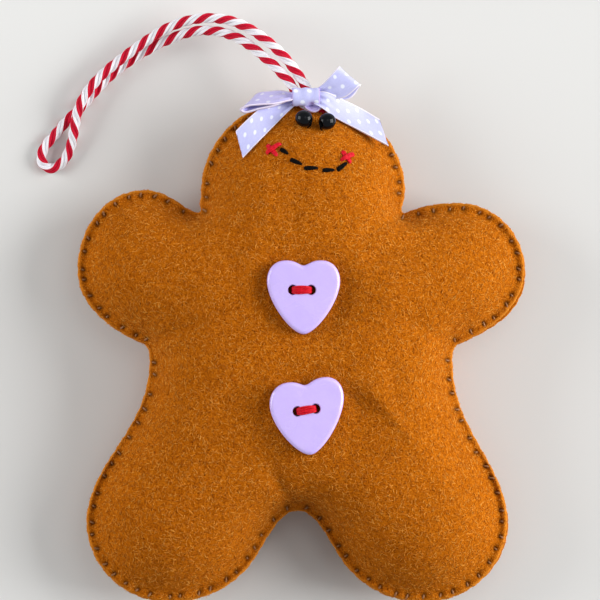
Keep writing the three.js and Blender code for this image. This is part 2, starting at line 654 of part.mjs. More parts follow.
// Seam thread: a closed run round the edge, needle point to needle point on either face by turns
function seamThread() {
  const points = OUTLINE;
  const count = points.length;
  const lengths = points.map((point, i) => point.distanceTo(points[(i + 1) % count]));
  const total = lengths.reduce((sum, length) => sum + length, 0);
  const stitches = Math.round(total / STITCH_PITCH);
  const places = (station) => {
    let rest = station * total;
    let i = 0;
    while (rest > lengths[i]) {
      rest -= lengths[i];
      i = (i + 1) % count;
    }
    const share = rest / lengths[i];
    const next = (i + 1) % count;
    const normal = inward(points, i).lerp(inward(points, next), share).normalize();
    return [points[i].clone().lerp(points[next], share), normal];
  };
  const r = SEAM_THREAD_RADIUS;
  const [top, under] = [MARGIN_TOP + FIT + r, MARGIN_UNDER - FIT - r];
  // Share of the pitch, depth in from the edge and height of each point of one stitch
  const stitch = [
    [0, STITCH_DEPTH, top], [0.2, -FIT - r, top - 0.12], [0.3, -FIT - r, under + 0.12],
    [0.5, STITCH_DEPTH, under], [0.7, -FIT - r, under + 0.12], [0.8, -FIT - r, top - 0.12],
  ];
  const route = [];
  for (let i = 0; i < stitches; i += 1) {
    stitch.forEach(([share, depth, z]) => {
      const [point, normal] = places((i + share) / stitches);
      point.addScaledVector(normal, depth);
      route.push(vec(point.x, point.y, z));
    });
  }
  return polyTube(route, r, 3);
}

// Closed tube with one ring of corners at each point of the route
function polyTube(route, radius, sides) {
  const count = route.length;
  const ahead = route.map((point, i) => route[(i + 1) % count].clone().sub(point).normalize());
  const points = [];
  const index = [];
  let side = ahead[0].clone().cross(vec(0, 0, 1)).normalize();
  const frames = route.map((point, i) => {
    const along = ahead[i].clone().add(ahead[(i + count - 1) % count]).normalize();
    side = side.clone().addScaledVector(along, -side.dot(along)).normalize();
    return [along, side];
  });
  const start = frames[0][1];
  const end = side.clone().addScaledVector(frames[0][0], -side.dot(frames[0][0])).normalize();
  const twist = Math.atan2(end.clone().cross(start).dot(frames[0][0]), end.dot(start));
  const fix = twist - Math.round(twist * sides / (2 * Math.PI)) * 2 * Math.PI / sides;
  const shift = Math.round(-(twist - fix) * sides / (2 * Math.PI));
  route.forEach((point, i) => {
    for (let k = 0; k < sides; k += 1) {
      const angle = 2 * Math.PI * k / sides + fix * i / count;
      points.push(frames[i][1].clone().applyAxisAngle(frames[i][0], angle).setLength(radius).add(point));
    }
  });
  route.forEach((point, i) => {
    const turn = i === count - 1 ? shift : 0;
    for (let k = 0; k < sides; k += 1) {
      const next = (k + 1) % sides;
      const wrap = (corner) => ((corner + turn) % sides + sides) % sides;
      const [p, q] = [i * sides + k, i * sides + next];
      const base = (i + 1) % count * sides;
      index.push(p, q, base + wrap(k), q, base + wrap(next), base + wrap(k));
    }
  });
  return new THREE.BufferGeometry().setFromPoints(points).setIndex(index);
}

// Assembly
const part = new THREE.Group();
part.name = "felt_gingerbread_ornament";

function place(name, geometry, colour, roughness) {
  const plain = geometry.index ? geometry.toNonIndexed() : geometry;
  plain.deleteAttribute("uv");
  plain.deleteAttribute("normal");
  plain.clearGroups();
  const whole = mergeVertices(plain, 1e-5);
  whole.computeVertexNormals();
  const mesh = new THREE.Mesh(whole, material(colour, roughness));
  mesh.name = name;
  part.add(mesh);
}

const upper = buttonSet(UPPER_BUTTON);
const lower = buttonSet(LOWER_BUTTON);
const leftEye = beadSet(LEFT_BEAD);
const rightEye = beadSet(RIGHT_BEAD);
const sewn = [upper, lower, leftEye, rightEye];

const frontShell = sheetSolid(feltSheet(frontHeight, 1, 0), feltSheet(frontHeight, 1, FELT_THICKNESS),
  feltFaces(), EDGE.map((_, i) => i));
const needleHoles = [...SMILE.flat(), ...LEFT_CHEEK, ...RIGHT_CHEEK]
  .map((spot) => needleHole(spot, FACE_THREAD_RADIUS));
place("front_felt", cut(frontShell, [
  ...needleHoles, ...sewn.flatMap((set) => set.needleHoles), ...cordHoles(),
]), COLOURS.felt, 0.95);

place("back_felt", sheetSolid(feltSheet(backHeight, -1, FELT_THICKNESS), feltSheet(backHeight, -1, 0),
  feltFaces(), EDGE.map((_, i) => i)), COLOURS.felt, 0.95);

const padDepth = FELT_THICKNESS + FIT;
const pad = sheetSolid(fieldSheet(frontHeight, 1, padDepth), fieldSheet(backHeight, -1, padDepth),
  FIELD_FACES, RISE.map((_, i) => i));
place("stuffing", cut(pad, [
  ...sewn.map((set) => set.relief), smileThread(FACE_THREAD_RADIUS + FIT, 4),
  cheekThread(LEFT_CHEEK, FACE_THREAD_RADIUS + FIT, 30, 4),
  cheekThread(RIGHT_CHEEK, FACE_THREAD_RADIUS + FIT, 30, 4), cordEnds(FIT),
]), COLOURS.filling, 1);

place("seam_thread", seamThread(), COLOURS.seam, 0.6);
place("upper_heart_button", upper.button, COLOURS.button, 0.25);
place("lower_heart_button", lower.button, COLOURS.button, 0.25);
place("upper_button_thread", upper.thread, COLOURS.red, 0.7);
place("lower_button_thread", lower.thread, COLOURS.red, 0.7);
place("left_eye_bead", leftEye.bead, COLOURS.black, 0.12);
place("right_eye_bead", rightEye.bead, COLOURS.black, 0.12);
place("left_eye_thread", leftEye.thread, COLOURS.black, 0.7);
place("right_eye_thread", rightEye.thread, COLOURS.black, 0.7);
place("smile_thread", smileThread(FACE_THREAD_RADIUS, 4), COLOURS.black, 0.7);
place("left_cheek_thread", cheekThread(LEFT_CHEEK, FACE_THREAD_RADIUS, 52, 4), COLOURS.red, 0.7);
place("right_cheek_thread", cheekThread(RIGHT_CHEEK, FACE_THREAD_RADIUS, 52, 4), COLOURS.red, 0.7);
place("ribbon_bow", joined([bowKnot(), bowStrap(), leftLoop(), rightLoop(), leftTail(), rightTail()]),
  COLOURS.ribbon, 0.4);
place("hanger_ends", cordEnds(0), COLOURS.red, 0.8);
place("hanger_loop", cordLoop(), COLOURS.red, 0.8);

export default part;
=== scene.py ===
"""Felt gingerbread ornament with its finishes, on a pale floor.

Shapes are worked out in millimetres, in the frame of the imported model, and become metres when a mesh
is made. The figure lies on its back: +Z points out of its front, +Y to its head, +X to the right.
"""
import json
import logging
import math
from dataclasses import dataclass, field
from enum import Enum
from typing import Callable

import bpy
import numpy as np
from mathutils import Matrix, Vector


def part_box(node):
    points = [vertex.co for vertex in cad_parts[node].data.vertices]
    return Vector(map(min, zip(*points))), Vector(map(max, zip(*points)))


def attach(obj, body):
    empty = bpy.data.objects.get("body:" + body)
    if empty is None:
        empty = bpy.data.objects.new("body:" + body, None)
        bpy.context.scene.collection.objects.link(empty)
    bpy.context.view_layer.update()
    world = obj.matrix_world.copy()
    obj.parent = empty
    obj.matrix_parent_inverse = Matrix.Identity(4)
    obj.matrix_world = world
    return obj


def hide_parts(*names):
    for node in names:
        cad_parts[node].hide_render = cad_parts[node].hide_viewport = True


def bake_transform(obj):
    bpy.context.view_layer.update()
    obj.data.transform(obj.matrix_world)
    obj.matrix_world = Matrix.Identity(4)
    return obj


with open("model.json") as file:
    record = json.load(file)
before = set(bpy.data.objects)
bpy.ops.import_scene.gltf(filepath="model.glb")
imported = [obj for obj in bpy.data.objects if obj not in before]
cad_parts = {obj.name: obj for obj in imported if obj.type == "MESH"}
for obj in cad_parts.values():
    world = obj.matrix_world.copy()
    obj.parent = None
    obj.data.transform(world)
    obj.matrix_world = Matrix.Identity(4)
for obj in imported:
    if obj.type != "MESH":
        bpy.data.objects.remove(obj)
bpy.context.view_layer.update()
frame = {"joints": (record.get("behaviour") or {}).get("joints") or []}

Array = np.ndarray
Colour = tuple[float, float, float]
Point = tuple[float, float, float]
Stitch = tuple[tuple[float, float], tuple[float, float]]
Socket = bpy.types.NodeSocket

MM = 0.001
TAU = 2 * math.pi
UP = np.array([0.0, 0.0, 1.0])

log = logging.getLogger("ornament")


class Body(str, Enum):
    """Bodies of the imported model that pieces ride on."""

    FIGURE = "figure"
    UPPER_BUTTON = "upper_button"
    LOWER_BUTTON = "lower_button"
    LEFT_EYE = "left_eye"
    RIGHT_EYE = "right_eye"
    HANGER = "hanger"


class Face(Enum):
    """Side of the figure that a felt panel covers."""

    FRONT = 1
    BACK = -1


# Arrays of points


def unit(vectors: Array) -> Array:
    """Vectors made one long, along the last axis."""
    return vectors / np.maximum(np.linalg.norm(vectors, axis=-1, keepdims=True), 1e-12)


def smooth_step(values: Array, low: float, high: float) -> Array:
    """0 below low, 1 above high, and 3t^2 - 2t^3 between them."""
    share = np.clip((values - low) / (high - low), 0, 1)
    return share * share * (3 - 2 * share)


def bell(values: Array, width: float | Array) -> Array:
    """1 at 0, and falling on both sides as exp(-(value / width)^2)."""
    return np.exp(-((values / width) ** 2))


def raised(xy: Array, z: Array) -> Array:
    """Points over a grid of places, at the heights given."""
    return np.concatenate([xy, z[..., None]], axis=-1)


def inward_normals(outline: Array) -> Array:
    """Directions into a counter-clockwise outline, at its points."""
    ahead = unit(np.roll(outline, -1, axis=0) - np.roll(outline, 1, axis=0))
    return np.stack([-ahead[:, 1], ahead[:, 0]], axis=1)


def lengths_along(points: Array) -> Array:
    """Distance from the first point to each point along a polyline."""
    return np.concatenate([[0.0], np.cumsum(np.linalg.norm(np.diff(points, axis=0), axis=1))])


def evenly(points: Array, count: int, closed: bool = False) -> Array:
    """Points at even distances along a polyline.

    Args:
        points: Corners of the polyline, one row each.
        count: How many points to give back.
        closed: Whether the line returns to its first point, which is then not repeated.

    Returns:
        The new points, one row each.
    """
    line = np.vstack([points, points[:1]]) if closed else points
    far = lengths_along(line)
    stations = np.linspace(0, far[-1], count, endpoint=not closed)
    return np.stack([np.interp(stations, far, column) for column in line.T], axis=1)


def spline(points: Array, per_span: int, closed: bool = False) -> Array:
    """Centripetal Catmull-Rom curve through points, as Hermite spans with shared slopes.

    Args:
        points: Points that the curve passes, one row each.
        per_span: Samples on each span.
        closed: Whether the curve returns to its first point.

    Returns:
        Samples along the curve.
    """
    p = np.asarray(points, float)
    if closed:
        p = np.vstack([p[-1:], p, p[:2]])
    else:
        p = np.vstack([2 * p[:1] - p[1:2], p, 2 * p[-1:] - p[-2:-1]])
    gaps = np.maximum(np.sqrt(np.linalg.norm(np.diff(p, axis=0), axis=1)), 1e-6)[:, None]
    d0, d1, d2 = gaps[:-2], gaps[1:-1], gaps[2:]
    p0, p1, p2, p3 = p[:-3], p[1:-2], p[2:-1], p[3:]
    m1 = ((p1 - p0) / d0 - (p2 - p0) / (d0 + d1) + (p2 - p1) / d1) * d1
    m2 = ((p2 - p1) / d1 - (p3 - p1) / (d1 + d2) + (p3 - p2) / d2) * d1
    t = np.linspace(0, 1, per_span, endpoint=False)[None, :, None]
    a, b, c, d = (v[:, None, :] for v in (p1, m1, p2, m2))
    curve = ((2 * t**3 - 3 * t**2 + 1) * a + (t**3 - 2 * t**2 + t) * b
             + (3 * t**2 - 2 * t**3) * c + (t**3 - t**2) * d)
    flat = curve.reshape(-1, p.shape[1])
    return flat if closed else np.vstack([flat, p[-2:-1]])


def bezier(controls: Array, samples: int) -> Array:
    """Points on a chain of cubic Bezier curves, each without its last point.

    Args:
        controls: Four control points for each curve.
        samples: Points on each curve.

    Returns:
        The points of all curves in order.
    """
    t = np.linspace(0, 1, samples, endpoint=False)
    weights = np.stack([(1 - t) ** 3, 3 * t * (1 - t) ** 2, 3 * t**2 * (1 - t), t**3], axis=1)
    return np.einsum("tk,ckd->ctd", weights, controls).reshape(-1, controls.shape[-1])


# Surfaces


@dataclass
class Shape:
    """Surface in millimetres: points, faces of four and of three corners, and their UV corners."""

    points: Array
    quads: Array
    quad_uv: Array
    tris: Array = field(default_factory=lambda: np.zeros((0, 3), int))
    tri_uv: Array = field(default_factory=lambda: np.zeros((0, 3, 2)))

    @staticmethod
    def joined(shapes: list["Shape"]) -> "Shape":
        """Several surfaces as one."""
        starts = np.cumsum([0] + [len(s.points) for s in shapes[:-1]])
        return Shape(
            np.vstack([s.points for s in shapes]),
            np.vstack([s.quads + start for s, start in zip(shapes, starts)]),
            np.vstack([s.quad_uv for s in shapes]),
            np.vstack([s.tris + start for s, start in zip(shapes, starts)]),
            np.vstack([s.tri_uv for s in shapes]),
        )

    def flipped(self) -> "Shape":
        """The surface with its faces turned round."""
        return Shape(self.points, self.quads[:, ::-1], self.quad_uv[:, ::-1],
                     self.tris[:, ::-1], self.tri_uv[:, ::-1])


def lattice(rows: int, columns: int, wrap_rows: bool = False) -> tuple[Array, Array]:
    """Faces of a grid of points, row by row, where the last column joins the first.

    Args:
        rows: Rows of points.
        columns: Points in each row.
        wrap_rows: Whether the last row joins the first.

    Returns:
        Corner numbers of each face, and the same corners as (row, column) steps without wrapping.
    """
    i, j = np.meshgrid(np.arange(rows - (not wrap_rows)), np.arange(columns), indexing="ij")
    steps = np.stack([np.stack([i, i, i + 1, i + 1], -1), np.stack([j, j + 1, j + 1, j], -1)], -1)
    steps = steps.reshape(-1, 4, 2)
    return steps[..., 0] % rows * columns + steps[..., 1] % columns, steps


def cap(ring: Array, middle: int, uv: Array, facing_back: bool) -> tuple[Array, Array]:
    """Fan of triangles from a middle point to a closed ring of points.

    Args:
        ring: Point numbers of the ring.
        middle: Point number of the middle.
        uv: UV that all corners share.
        facing_back: Whether the fan faces against the ring's turning sense.

    Returns:
        Corner numbers of the triangles, and their UV corners.
    """
    ahead = np.roll(ring, -1)
    first, second = (ahead, ring) if facing_back else (ring, ahead)
    tris = np.stack([np.full_like(ring, middle), first, second], axis=1)
    return tris, np.broadcast_to(uv, (len(ring), 3, 2)).copy()


def rings_shape(rings: Array, u: Array | None = None, v: Array | None = None,
                closed: bool = False) -> Shape:
    """Skin over a row of closed rings, with a fan over each end unless the row is closed.

    Args:
        rings: Points, as (ring, place on the ring, xyz).
        u: UV across, one more than the places on a ring, or None for 0 to 1.
        v: UV along, one for each ring and one more where the row is closed, or None for 0 to 1.
        closed: Whether the last ring joins the first.

    Returns:
        The surface, facing out where the rings turn counter-clockwise seen from ahead.
    """
    rows, columns = rings.shape[:2]
    u = np.linspace(0, 1, columns + 1) if u is None else u
    v = np.linspace(0, 1, rows + closed) if v is None else v
    quads, steps = lattice(rows, columns, wrap_rows=closed)
    quad_uv = np.stack([u[steps[..., 1]], v[steps[..., 0]]], -1)
    points = rings.reshape(-1, 3)
    if closed:
        return Shape(points, quads, quad_uv)
    count = len(points)
    first, last = np.arange(columns), np.arange(count - columns, count)
    middles = np.stack([rings[0].mean(0), rings[-1].mean(0)])
    start = cap(first, count, np.array([u[0], v[0]]), True)
    end = cap(last, count + 1, np.array([u[0], v[-1]]), False)
    return Shape(np.vstack([points, middles]), quads, quad_uv,
                 np.vstack([start[0], end[0]]), np.vstack([start[1], end[1]]))


def sweep(path: Array, section: Array, reference: Array, closed: bool = False,
          around: float = 1.0) -> Shape:
    """Closed section carried along a path.

    A point is path + x * side + y * over: over is the reference direction made square to the path, and
    side is over turned a quarter about the path, so the section turns counter-clockwise seen from ahead.

    Args:
        path: Points of the path.
        section: (x, y) of the section's corners, one set for all stations or one for each.
        reference: Direction that keeps the section upright, for all stations or one for each.
        closed: Whether the path returns to its first point.
        around: UV distance once round the section.

    Returns:
        The swept surface, with UV across as given and UV along in millimetres.
    """
    if closed:
        along = unit(np.roll(path, -1, axis=0) - np.roll(path, 1, axis=0))
    else:
        along = unit(np.gradient(path, axis=0))
    upright = np.broadcast_to(reference, path.shape)
    over = unit(upright - np.sum(upright * along, axis=1, keepdims=True) * along)
    side = np.cross(over, along)
    corners = np.broadcast_to(section, (len(path), *section.shape[-2:]))
    rings = path[:, None] + corners[..., :1] * side[:, None] + corners[..., 1:] * over[:, None]
    line = np.vstack([path, path[:1]]) if closed else path
    u = np.linspace(0, around, section.shape[-2] + 1)
    return rings_shape(rings, u, lengths_along(line), closed)


def circle(radius: float, sides: int) -> Array:
    """Corners of a round section."""
    turn = np.arange(sides) * TAU / sides
    return radius * np.stack([np.cos(turn), np.sin(turn)], axis=1)


def put(name: str, data: bpy.types.ID) -> bpy.types.Object:
    """New object of the scene, at the origin."""
    made = bpy.data.objects.new(name, data)
    bpy.context.scene.collection.objects.link(made)
    return made


def mesh_piece(name: str, shape: Shape, material: bpy.types.Material,
               uv_name: str = "UVMap") -> bpy.types.Object:
    """Smooth mesh object in metres from a surface in millimetres.

    Args:
        name: Piece name.
        shape: Surface to use.
        material: Finish of the whole piece.
        uv_name: Name of its UV map.

    Returns:
        The new object, at the origin.
    """
    mesh = bpy.data.meshes.new(name)
    mesh.vertices.add(len(shape.points))
    mesh.vertices.foreach_set("co", (shape.points * MM).astype(np.float32).ravel())
    corners = np.concatenate([shape.quads.ravel(), shape.tris.ravel()])
    mesh.loops.add(len(corners))
    mesh.loops.foreach_set("vertex_index", corners.astype(np.int32))
    sizes = np.concatenate([np.full(len(shape.quads), 4), np.full(len(shape.tris), 3)])
    mesh.polygons.add(len(sizes))
    starts = np.concatenate([[0], np.cumsum(sizes)[:-1]])
    mesh.polygons.foreach_set("loop_start", starts.astype(np.int32))
    mesh.polygons.foreach_set("use_smooth", np.ones(len(sizes), bool))
    uv = np.concatenate([shape.quad_uv.reshape(-1, 2), shape.tri_uv.reshape(-1, 2)])
    mesh.update(calc_edges=True)
    mesh.uv_layers.new(name=uv_name).uv.foreach_set("vector", uv.astype(np.float32).ravel())
    mesh.materials.append(material)
    return put(name, mesh)


def carry(piece: bpy.types.Object, name: str, values: Array) -> None:
    """Give each point of a piece a number that its material reads."""
    carried = piece.data.attributes.new(name, "FLOAT", "POINT")
    carried.data.foreach_set("value", values.astype(np.float32))


def settle(piece: bpy.types.Object, body: Body, slot: str, *nodes: str) -> bpy.types.Object:
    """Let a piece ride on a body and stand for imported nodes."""
    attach(piece, body.value)
    if nodes:
        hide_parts(*nodes)
    log.info("%s: %d faces, on %s", piece.name, len(piece.data.polygons), body.value)
    return piece


# Shader nodes


class Graph:
    """Short way to write shader nodes into one node tree."""

    def __init__(self, tree: bpy.types.NodeTree) -> None:
        """Keep the tree that nodes go into."""
        self.tree = tree

    def node(self, kind: str, inputs: dict[str | int, object] | None = None,
             **settings: object) -> bpy.types.Node:
        """New node with its settings and inputs.

        Args:
            kind: Node type without its ShaderNode prefix.
            inputs: Value or linked socket for each input, by name or number.
            settings: Node properties.

        Returns:
            The node.
        """
        made = self.tree.nodes.new("ShaderNode" + kind)
        for name, value in settings.items():
            setattr(made, name, value)
        self.fill(made, inputs or {})
        return made

    def fill(self, node: bpy.types.Node, inputs: dict[str | int, object]) -> None:
        """Set inputs of a node, or link them where the value is a socket."""
        for name, value in inputs.items():
            if isinstance(value, Socket):
                self.tree.links.new(value, node.inputs[name])
            else:
                node.inputs[name].default_value = value

    def math(self, operation: str, *values: object) -> Socket:
        """Output of a Math node."""
        return self.node("Math", dict(enumerate(values)), operation=operation).outputs[0]

    def vector(self, operation: str, *values: object) -> Socket:
        """Vector output of a Vector Math node."""
        return self.node("VectorMath", dict(enumerate(values)), operation=operation).outputs[0]

    def turned(self, vector: Socket, angle: float) -> Socket:
        """Vector turned about Z."""
        inputs = {"Vector": vector, "Angle": angle}
        return self.node("VectorRotate", inputs, rotation_type="Z_AXIS").outputs[0]

    def place(self, kind: str = "Object") -> Socket:
        """Texture coordinates of a kind, Object or UV."""
        return self.node("TexCoord").outputs[kind]

    def carried(self, name: str) -> Socket:
        """Number that each point of the piece carries."""
        return self.node("Attribute", attribute_name=name).outputs["Fac"]

    def group(self, tree: bpy.types.NodeTree, vector: Socket, **inputs: float) -> bpy.types.NodeOutputs:
        """Outputs of a node group at a place."""
        return self.node("Group", {"Vector": vector, **inputs}, node_tree=tree).outputs

    def span(self, value: Socket, low: float, high: float,
             to_low: float = 0.0, to_high: float = 1.0) -> Socket:
        """Value eased from one range to another, and held at its ends."""
        inputs = {"Value": value, "From Min": low, "From Max": high, "To Min": to_low, "To Max": to_high}
        return self.node("MapRange", inputs, interpolation_type="SMOOTHSTEP").outputs[0]

    def ridge(self, value: Socket, low: float, high: float) -> Socket:
        """1 where a noise value is within low of a half, and 0 where it is past high."""
        off = self.math("ABSOLUTE", self.math("SUBTRACT", value, 0.5))
        return self.span(off, low, high, 1.0, 0.0)

    def noise(self, vector: Socket, scale: float, detail: float = 2.0, distortion: float = 0.0) -> Socket:
        """Noise value at a place."""
        inputs = {"Vector": vector, "Scale": scale, "Detail": detail, "Distortion": distortion}
        return self.node("TexNoise", inputs).outputs[0]

    def mix(self, share: object, first: object, second: object, blend: str = "MIX") -> Socket:
        """Colour between two colours."""
        inputs = {0: share, 6: rgba(first), 7: rgba(second)}
        return self.node("Mix", inputs, data_type="RGBA", blend_type=blend).outputs[2]

    def ramp(self, value: Socket, stops: list[tuple[float, Colour]]) -> Socket:
        """Colour read from a ramp of stops."""
        made = self.node("ValToRGB", {0: value})
        elements = made.color_ramp.elements
        for place, _ in stops[2:]:
            elements.new(place)
        for element, (place, _) in zip(elements, stops):
            element.position = place
        for element, (_, colour) in zip(elements, stops):
            element.color = rgba(colour)
        return made.outputs[0]

    def bump(self, height: Socket, strength: float, distance: float) -> Socket:
        """Normal tilted by a height, with the distance in millimetres."""
        inputs = {"Height": height, "Strength": strength, "Distance": distance * MM}
        return self.node("Bump", inputs).outputs[0]


def rgba(colour: object) -> object:
    """A plain colour with its alpha, or a socket as it is."""
    return colour if isinstance(colour, Socket) else (*colour, 1.0)


def node_group(name: str, inputs: dict[str, float | None], outputs: list[str],
               write: Callable[[Graph, dict[str, Socket]], dict[str, Socket]]) -> bpy.types.NodeTree:
    """Shader node group, made once.

    Args:
        name: Name of the group.
        inputs: Input names with their default numbers, or None for a vector.
        outputs: Names of the value outputs.
        write: Writes the nodes from the input sockets and gives the output sockets.

    Returns:
        The group's node tree.
    """
    if name in bpy.data.node_groups:
        return bpy.data.node_groups[name]
    tree = bpy.data.node_groups.new(name, "ShaderNodeTree")
    for label, default in inputs.items():
        kind = "NodeSocketVector" if default is None else "NodeSocketFloat"
        made = tree.interface.new_socket(label, in_out="INPUT", socket_type=kind)
        if default is not None:
            made.default_value = default
    for label in outputs:
        tree.interface.new_socket(label, in_out="OUTPUT", socket_type="NodeSocketFloat")
    source = tree.nodes.new("NodeGroupInput")
    sink = tree.nodes.new("NodeGroupOutput")
    made = write(Graph(tree), {s.name: s for s in source.outputs if s.name})
    for label in outputs:
        tree.links.new(made[label], sink.inputs[label])
    return tree


def felt_fibres() -> bpy.types.NodeTree:
    """Group for matted fibres: thin ridges of stretched noise in three directions, bent by a slow noise."""

    def write(g: Graph, given: dict[str, Socket]) -> dict[str, Socket]:
        """Nodes of the group."""
        slow = g.node("TexNoise", {"Vector": given["Vector"], "Scale": 620.0, "Detail": 1.0}).outputs[1]
        centred = g.vector("SUBTRACT", slow, (0.5, 0.5, 0.5))
        bend = g.node("VectorMath", {0: centred, "Scale": given["Curl"]}, operation="SCALE").outputs[0]
        place = g.vector("ADD", given["Vector"], bend)
        scales = {0: given["Along"], 1: given["Across"], 2: given["Across"]}
        stretch = g.node("CombineXYZ", scales).outputs[0]
        ridges = []
        for turn in (0.2, 1.3, 2.35):
            scaled = g.vector("MULTIPLY", g.turned(place, turn), stretch)
            ridges.append(g.ridge(g.noise(scaled, 1.0, 1.5), 0.01, 0.09))
        crossed = g.math("MAXIMUM", g.math("MAXIMUM", ridges[0], ridges[1]), ridges[2])
        paired = g.math("ADD", ridges[0], ridges[1])
        layered = g.math("MULTIPLY_ADD", paired, 0.25, g.math("MULTIPLY", crossed, 0.5))
        mottle = g.noise(given["Vector"], 90.0, 2.0)
        speck = g.span(g.noise(given["Vector"], 3200.0, 1.0), 0.3, 0.7)
        fibre = g.math("MULTIPLY_ADD", speck, 0.3, g.math("MULTIPLY", layered, 0.7))
        height = g.math("MULTIPLY_ADD", speck, 0.4, layered)
        return {"Fibre": fibre, "Mottle": mottle, "Height": height}

    inputs = {"Vector": None, "Along": 640.0, "Across": 2800.0, "Curl": 0.0015}
    return node_group("felt_fibres", inputs, ["Fibre", "Mottle", "Height"], write)


def spun_yarn() -> bpy.types.NodeTree:
    """Group for spun thread: slanted ridges on UV, broken by a noise that is stretched along them."""

    def write(g: Graph, given: dict[str, Socket]) -> dict[str, Socket]:
        """Nodes of the group."""
        parts = g.node("SeparateXYZ", {0: given["Vector"]}).outputs
        across = g.math("MULTIPLY", parts[0], given["Strands"])
        slant = g.math("MULTIPLY_ADD", parts[1], given["Slant"], across)
        wobble = g.noise(given["Vector"], 2.5, 2.0)
        phase = g.math("MULTIPLY_ADD", wobble, 0.9, slant)
        wave = g.math("SINE", g.math("MULTIPLY", phase, TAU))
        ridge = g.span(wave, -1.0, 1.0)
        hairs = {0: g.math("MULTIPLY", slant, 3.0), 1: g.math("MULTIPLY", parts[1], 0.7)}
        fine = g.noise(g.node("CombineXYZ", hairs).outputs[0], 2.0, 2.0)
        return {"Shade": g.math("MULTIPLY_ADD", fine, 0.6, g.math("MULTIPLY", ridge, 0.4)),
                "Height": g.math("MULTIPLY_ADD", fine, 0.35, ridge)}

    inputs = {"Vector": None, "Strands": 3.0, "Slant": 0.8}
    return node_group("spun_yarn", inputs, ["Shade", "Height"], write)


def handling_marks() -> bpy.types.NodeTree:
    """Group for handled gloss: soft smudges and thin hair scratches."""

    def write(g: Graph, given: dict[str, Socket]) -> dict[str, Socket]:
        """Nodes of the group."""
        smudge = g.span(g.noise(given["Vector"], given["Smudge"], 3.0, 0.6), 0.35, 0.7)
        thin = g.vector("MULTIPLY", g.turned(given["Vector"], 0.6), (60.0, 2600.0, 900.0))
        return {"Smudge": smudge, "Scratch": g.ridge(g.noise(thin, 1.0, 0.0), 0.0, 0.012)}

    return node_group("handling_marks", {"Vector": None, "Smudge": 180.0}, ["Smudge", "Scratch"], write)


def new_material(name: str) -> tuple[bpy.types.Material, Graph, bpy.types.Node]:
    """Empty material with its graph and its Principled shader."""
    material = bpy.data.materials.new(name)
    material.use_nodes = True
    return material, Graph(material.node_tree), material.node_tree.nodes["Principled BSDF"]


@dataclass(frozen=True)
class FeltFinish:
    """Matted wool felt: dark gaps, brown body, golden fibres, painted stitch shade, painted edge highlight.
    """

    gap: Colour = (0.120, 0.025, 0.001)
    body: Colour = (0.325, 0.071, 0.001)
    fibre: Colour = (0.490, 0.130, 0.003)
    tip: Colour = (0.930, 0.440, 0.075)
    # The palest fibre colour, also used along the cut edge: its own paler tone with a painted highlight.
    rim: Colour = (0.640, 0.225, 0.022)
    # Painted shade in the needle holes and along the stitch groove.
    pit: Colour = (0.030, 0.009, 0.002)

    def material(self) -> bpy.types.Material:
        """Material of the felt panels."""
        material, g, shader = new_material("gingerbread_felt")
        fibres = g.group(felt_fibres(), g.place())
        stops = [(0.0, self.gap), (0.3, self.body), (0.72, self.fibre), (1.0, self.rim)]
        colour = g.ramp(fibres["Fibre"], stops)
        cloud = g.span(fibres["Mottle"], 0.25, 0.75, 0.95, 1.04)
        tone = g.node("CombineColor", {0: cloud, 1: cloud, 2: cloud}).outputs[0]
        # Painted highlight: paler felt along the cut edge, partly the cut edge's own paler colour.
        face = g.mix(g.carried("rim"), g.mix(1.0, colour, tone, "MULTIPLY"), self.rim)
        # Painted shade: darker felt at the needle holes and along the stitch groove.
        g.fill(shader, {
            "Base Color": g.mix(g.carried("pit"), face, self.pit), "Roughness": 0.9,
            "Specular IOR Level": 0.02, "Sheen Weight": 0.18, "Sheen Roughness": 0.45,
            "Sheen Tint": (1.0, 0.42, 0.05, 1.0), "Normal": g.bump(fibres["Height"], 0.5, 0.2),
        })
        return material

    def fuzz_material(self) -> bpy.types.Material:
        """Material of the loose fibres, from a tone that each fibre carries."""
        material, g, shader = new_material("loose_felt_fibre")
        tone = g.math("MULTIPLY_ADD", g.carried("tone"), 0.8, 0.2)
        worn = g.math("MULTIPLY_ADD", g.noise(g.place(), 900.0), 0.12, tone)
        stops = [(0.05, self.gap), (0.35, self.body), (0.7, self.fibre), (1.0, self.tip)]
        g.fill(shader, {
            "Base Color": g.ramp(worn, stops), "Roughness": 0.6, "Specular IOR Level": 0.06,
        })
        return material


@dataclass(frozen=True)
class FillingFinish:
    """White polyester filling in loose wisps."""

    light: Colour = (0.86, 0.84, 0.78)
    shade: Colour = (0.70, 0.67, 0.60)

    def material(self) -> bpy.types.Material:
        """Material of the filling."""
        material, g, shader = new_material("polyester_filling")
        fibres = g.group(felt_fibres(), g.place(), Along=160.0, Across=900.0, Curl=0.005)
        g.fill(shader, {
            "Base Color": g.mix(fibres["Fibre"], self.shade, self.light), "Roughness": 0.9,
            "Normal": g.bump(fibres["Height"], 0.6, 0.6),
        })
        return material


@dataclass(frozen=True)
class FlossFinish:
    """Spun sewing thread in one colour, with painted shade between its strands."""

    name: str
    light: Colour
    # Darker copy for painted shade between the strands.
    dark: Colour
    roughness: float = 0.55
    sheen: float = 0.2
    gloss: float = 0.4
    strands: float = 2.0
    slant: float = 0.9

    def material(self) -> bpy.types.Material:
        """Material of the thread."""
        material, g, shader = new_material(self.name)
        yarn = g.group(spun_yarn(), g.place("UV"), Strands=self.strands, Slant=self.slant)
        g.fill(shader, {
            "Base Color": g.mix(yarn["Shade"], self.dark, self.light), "Roughness": self.roughness,
            "Sheen Weight": self.sheen, "Sheen Roughness": 0.4, "Specular IOR Level": self.gloss,
            "Normal": g.bump(yarn["Height"], 0.7, 0.06),
        })
        return material


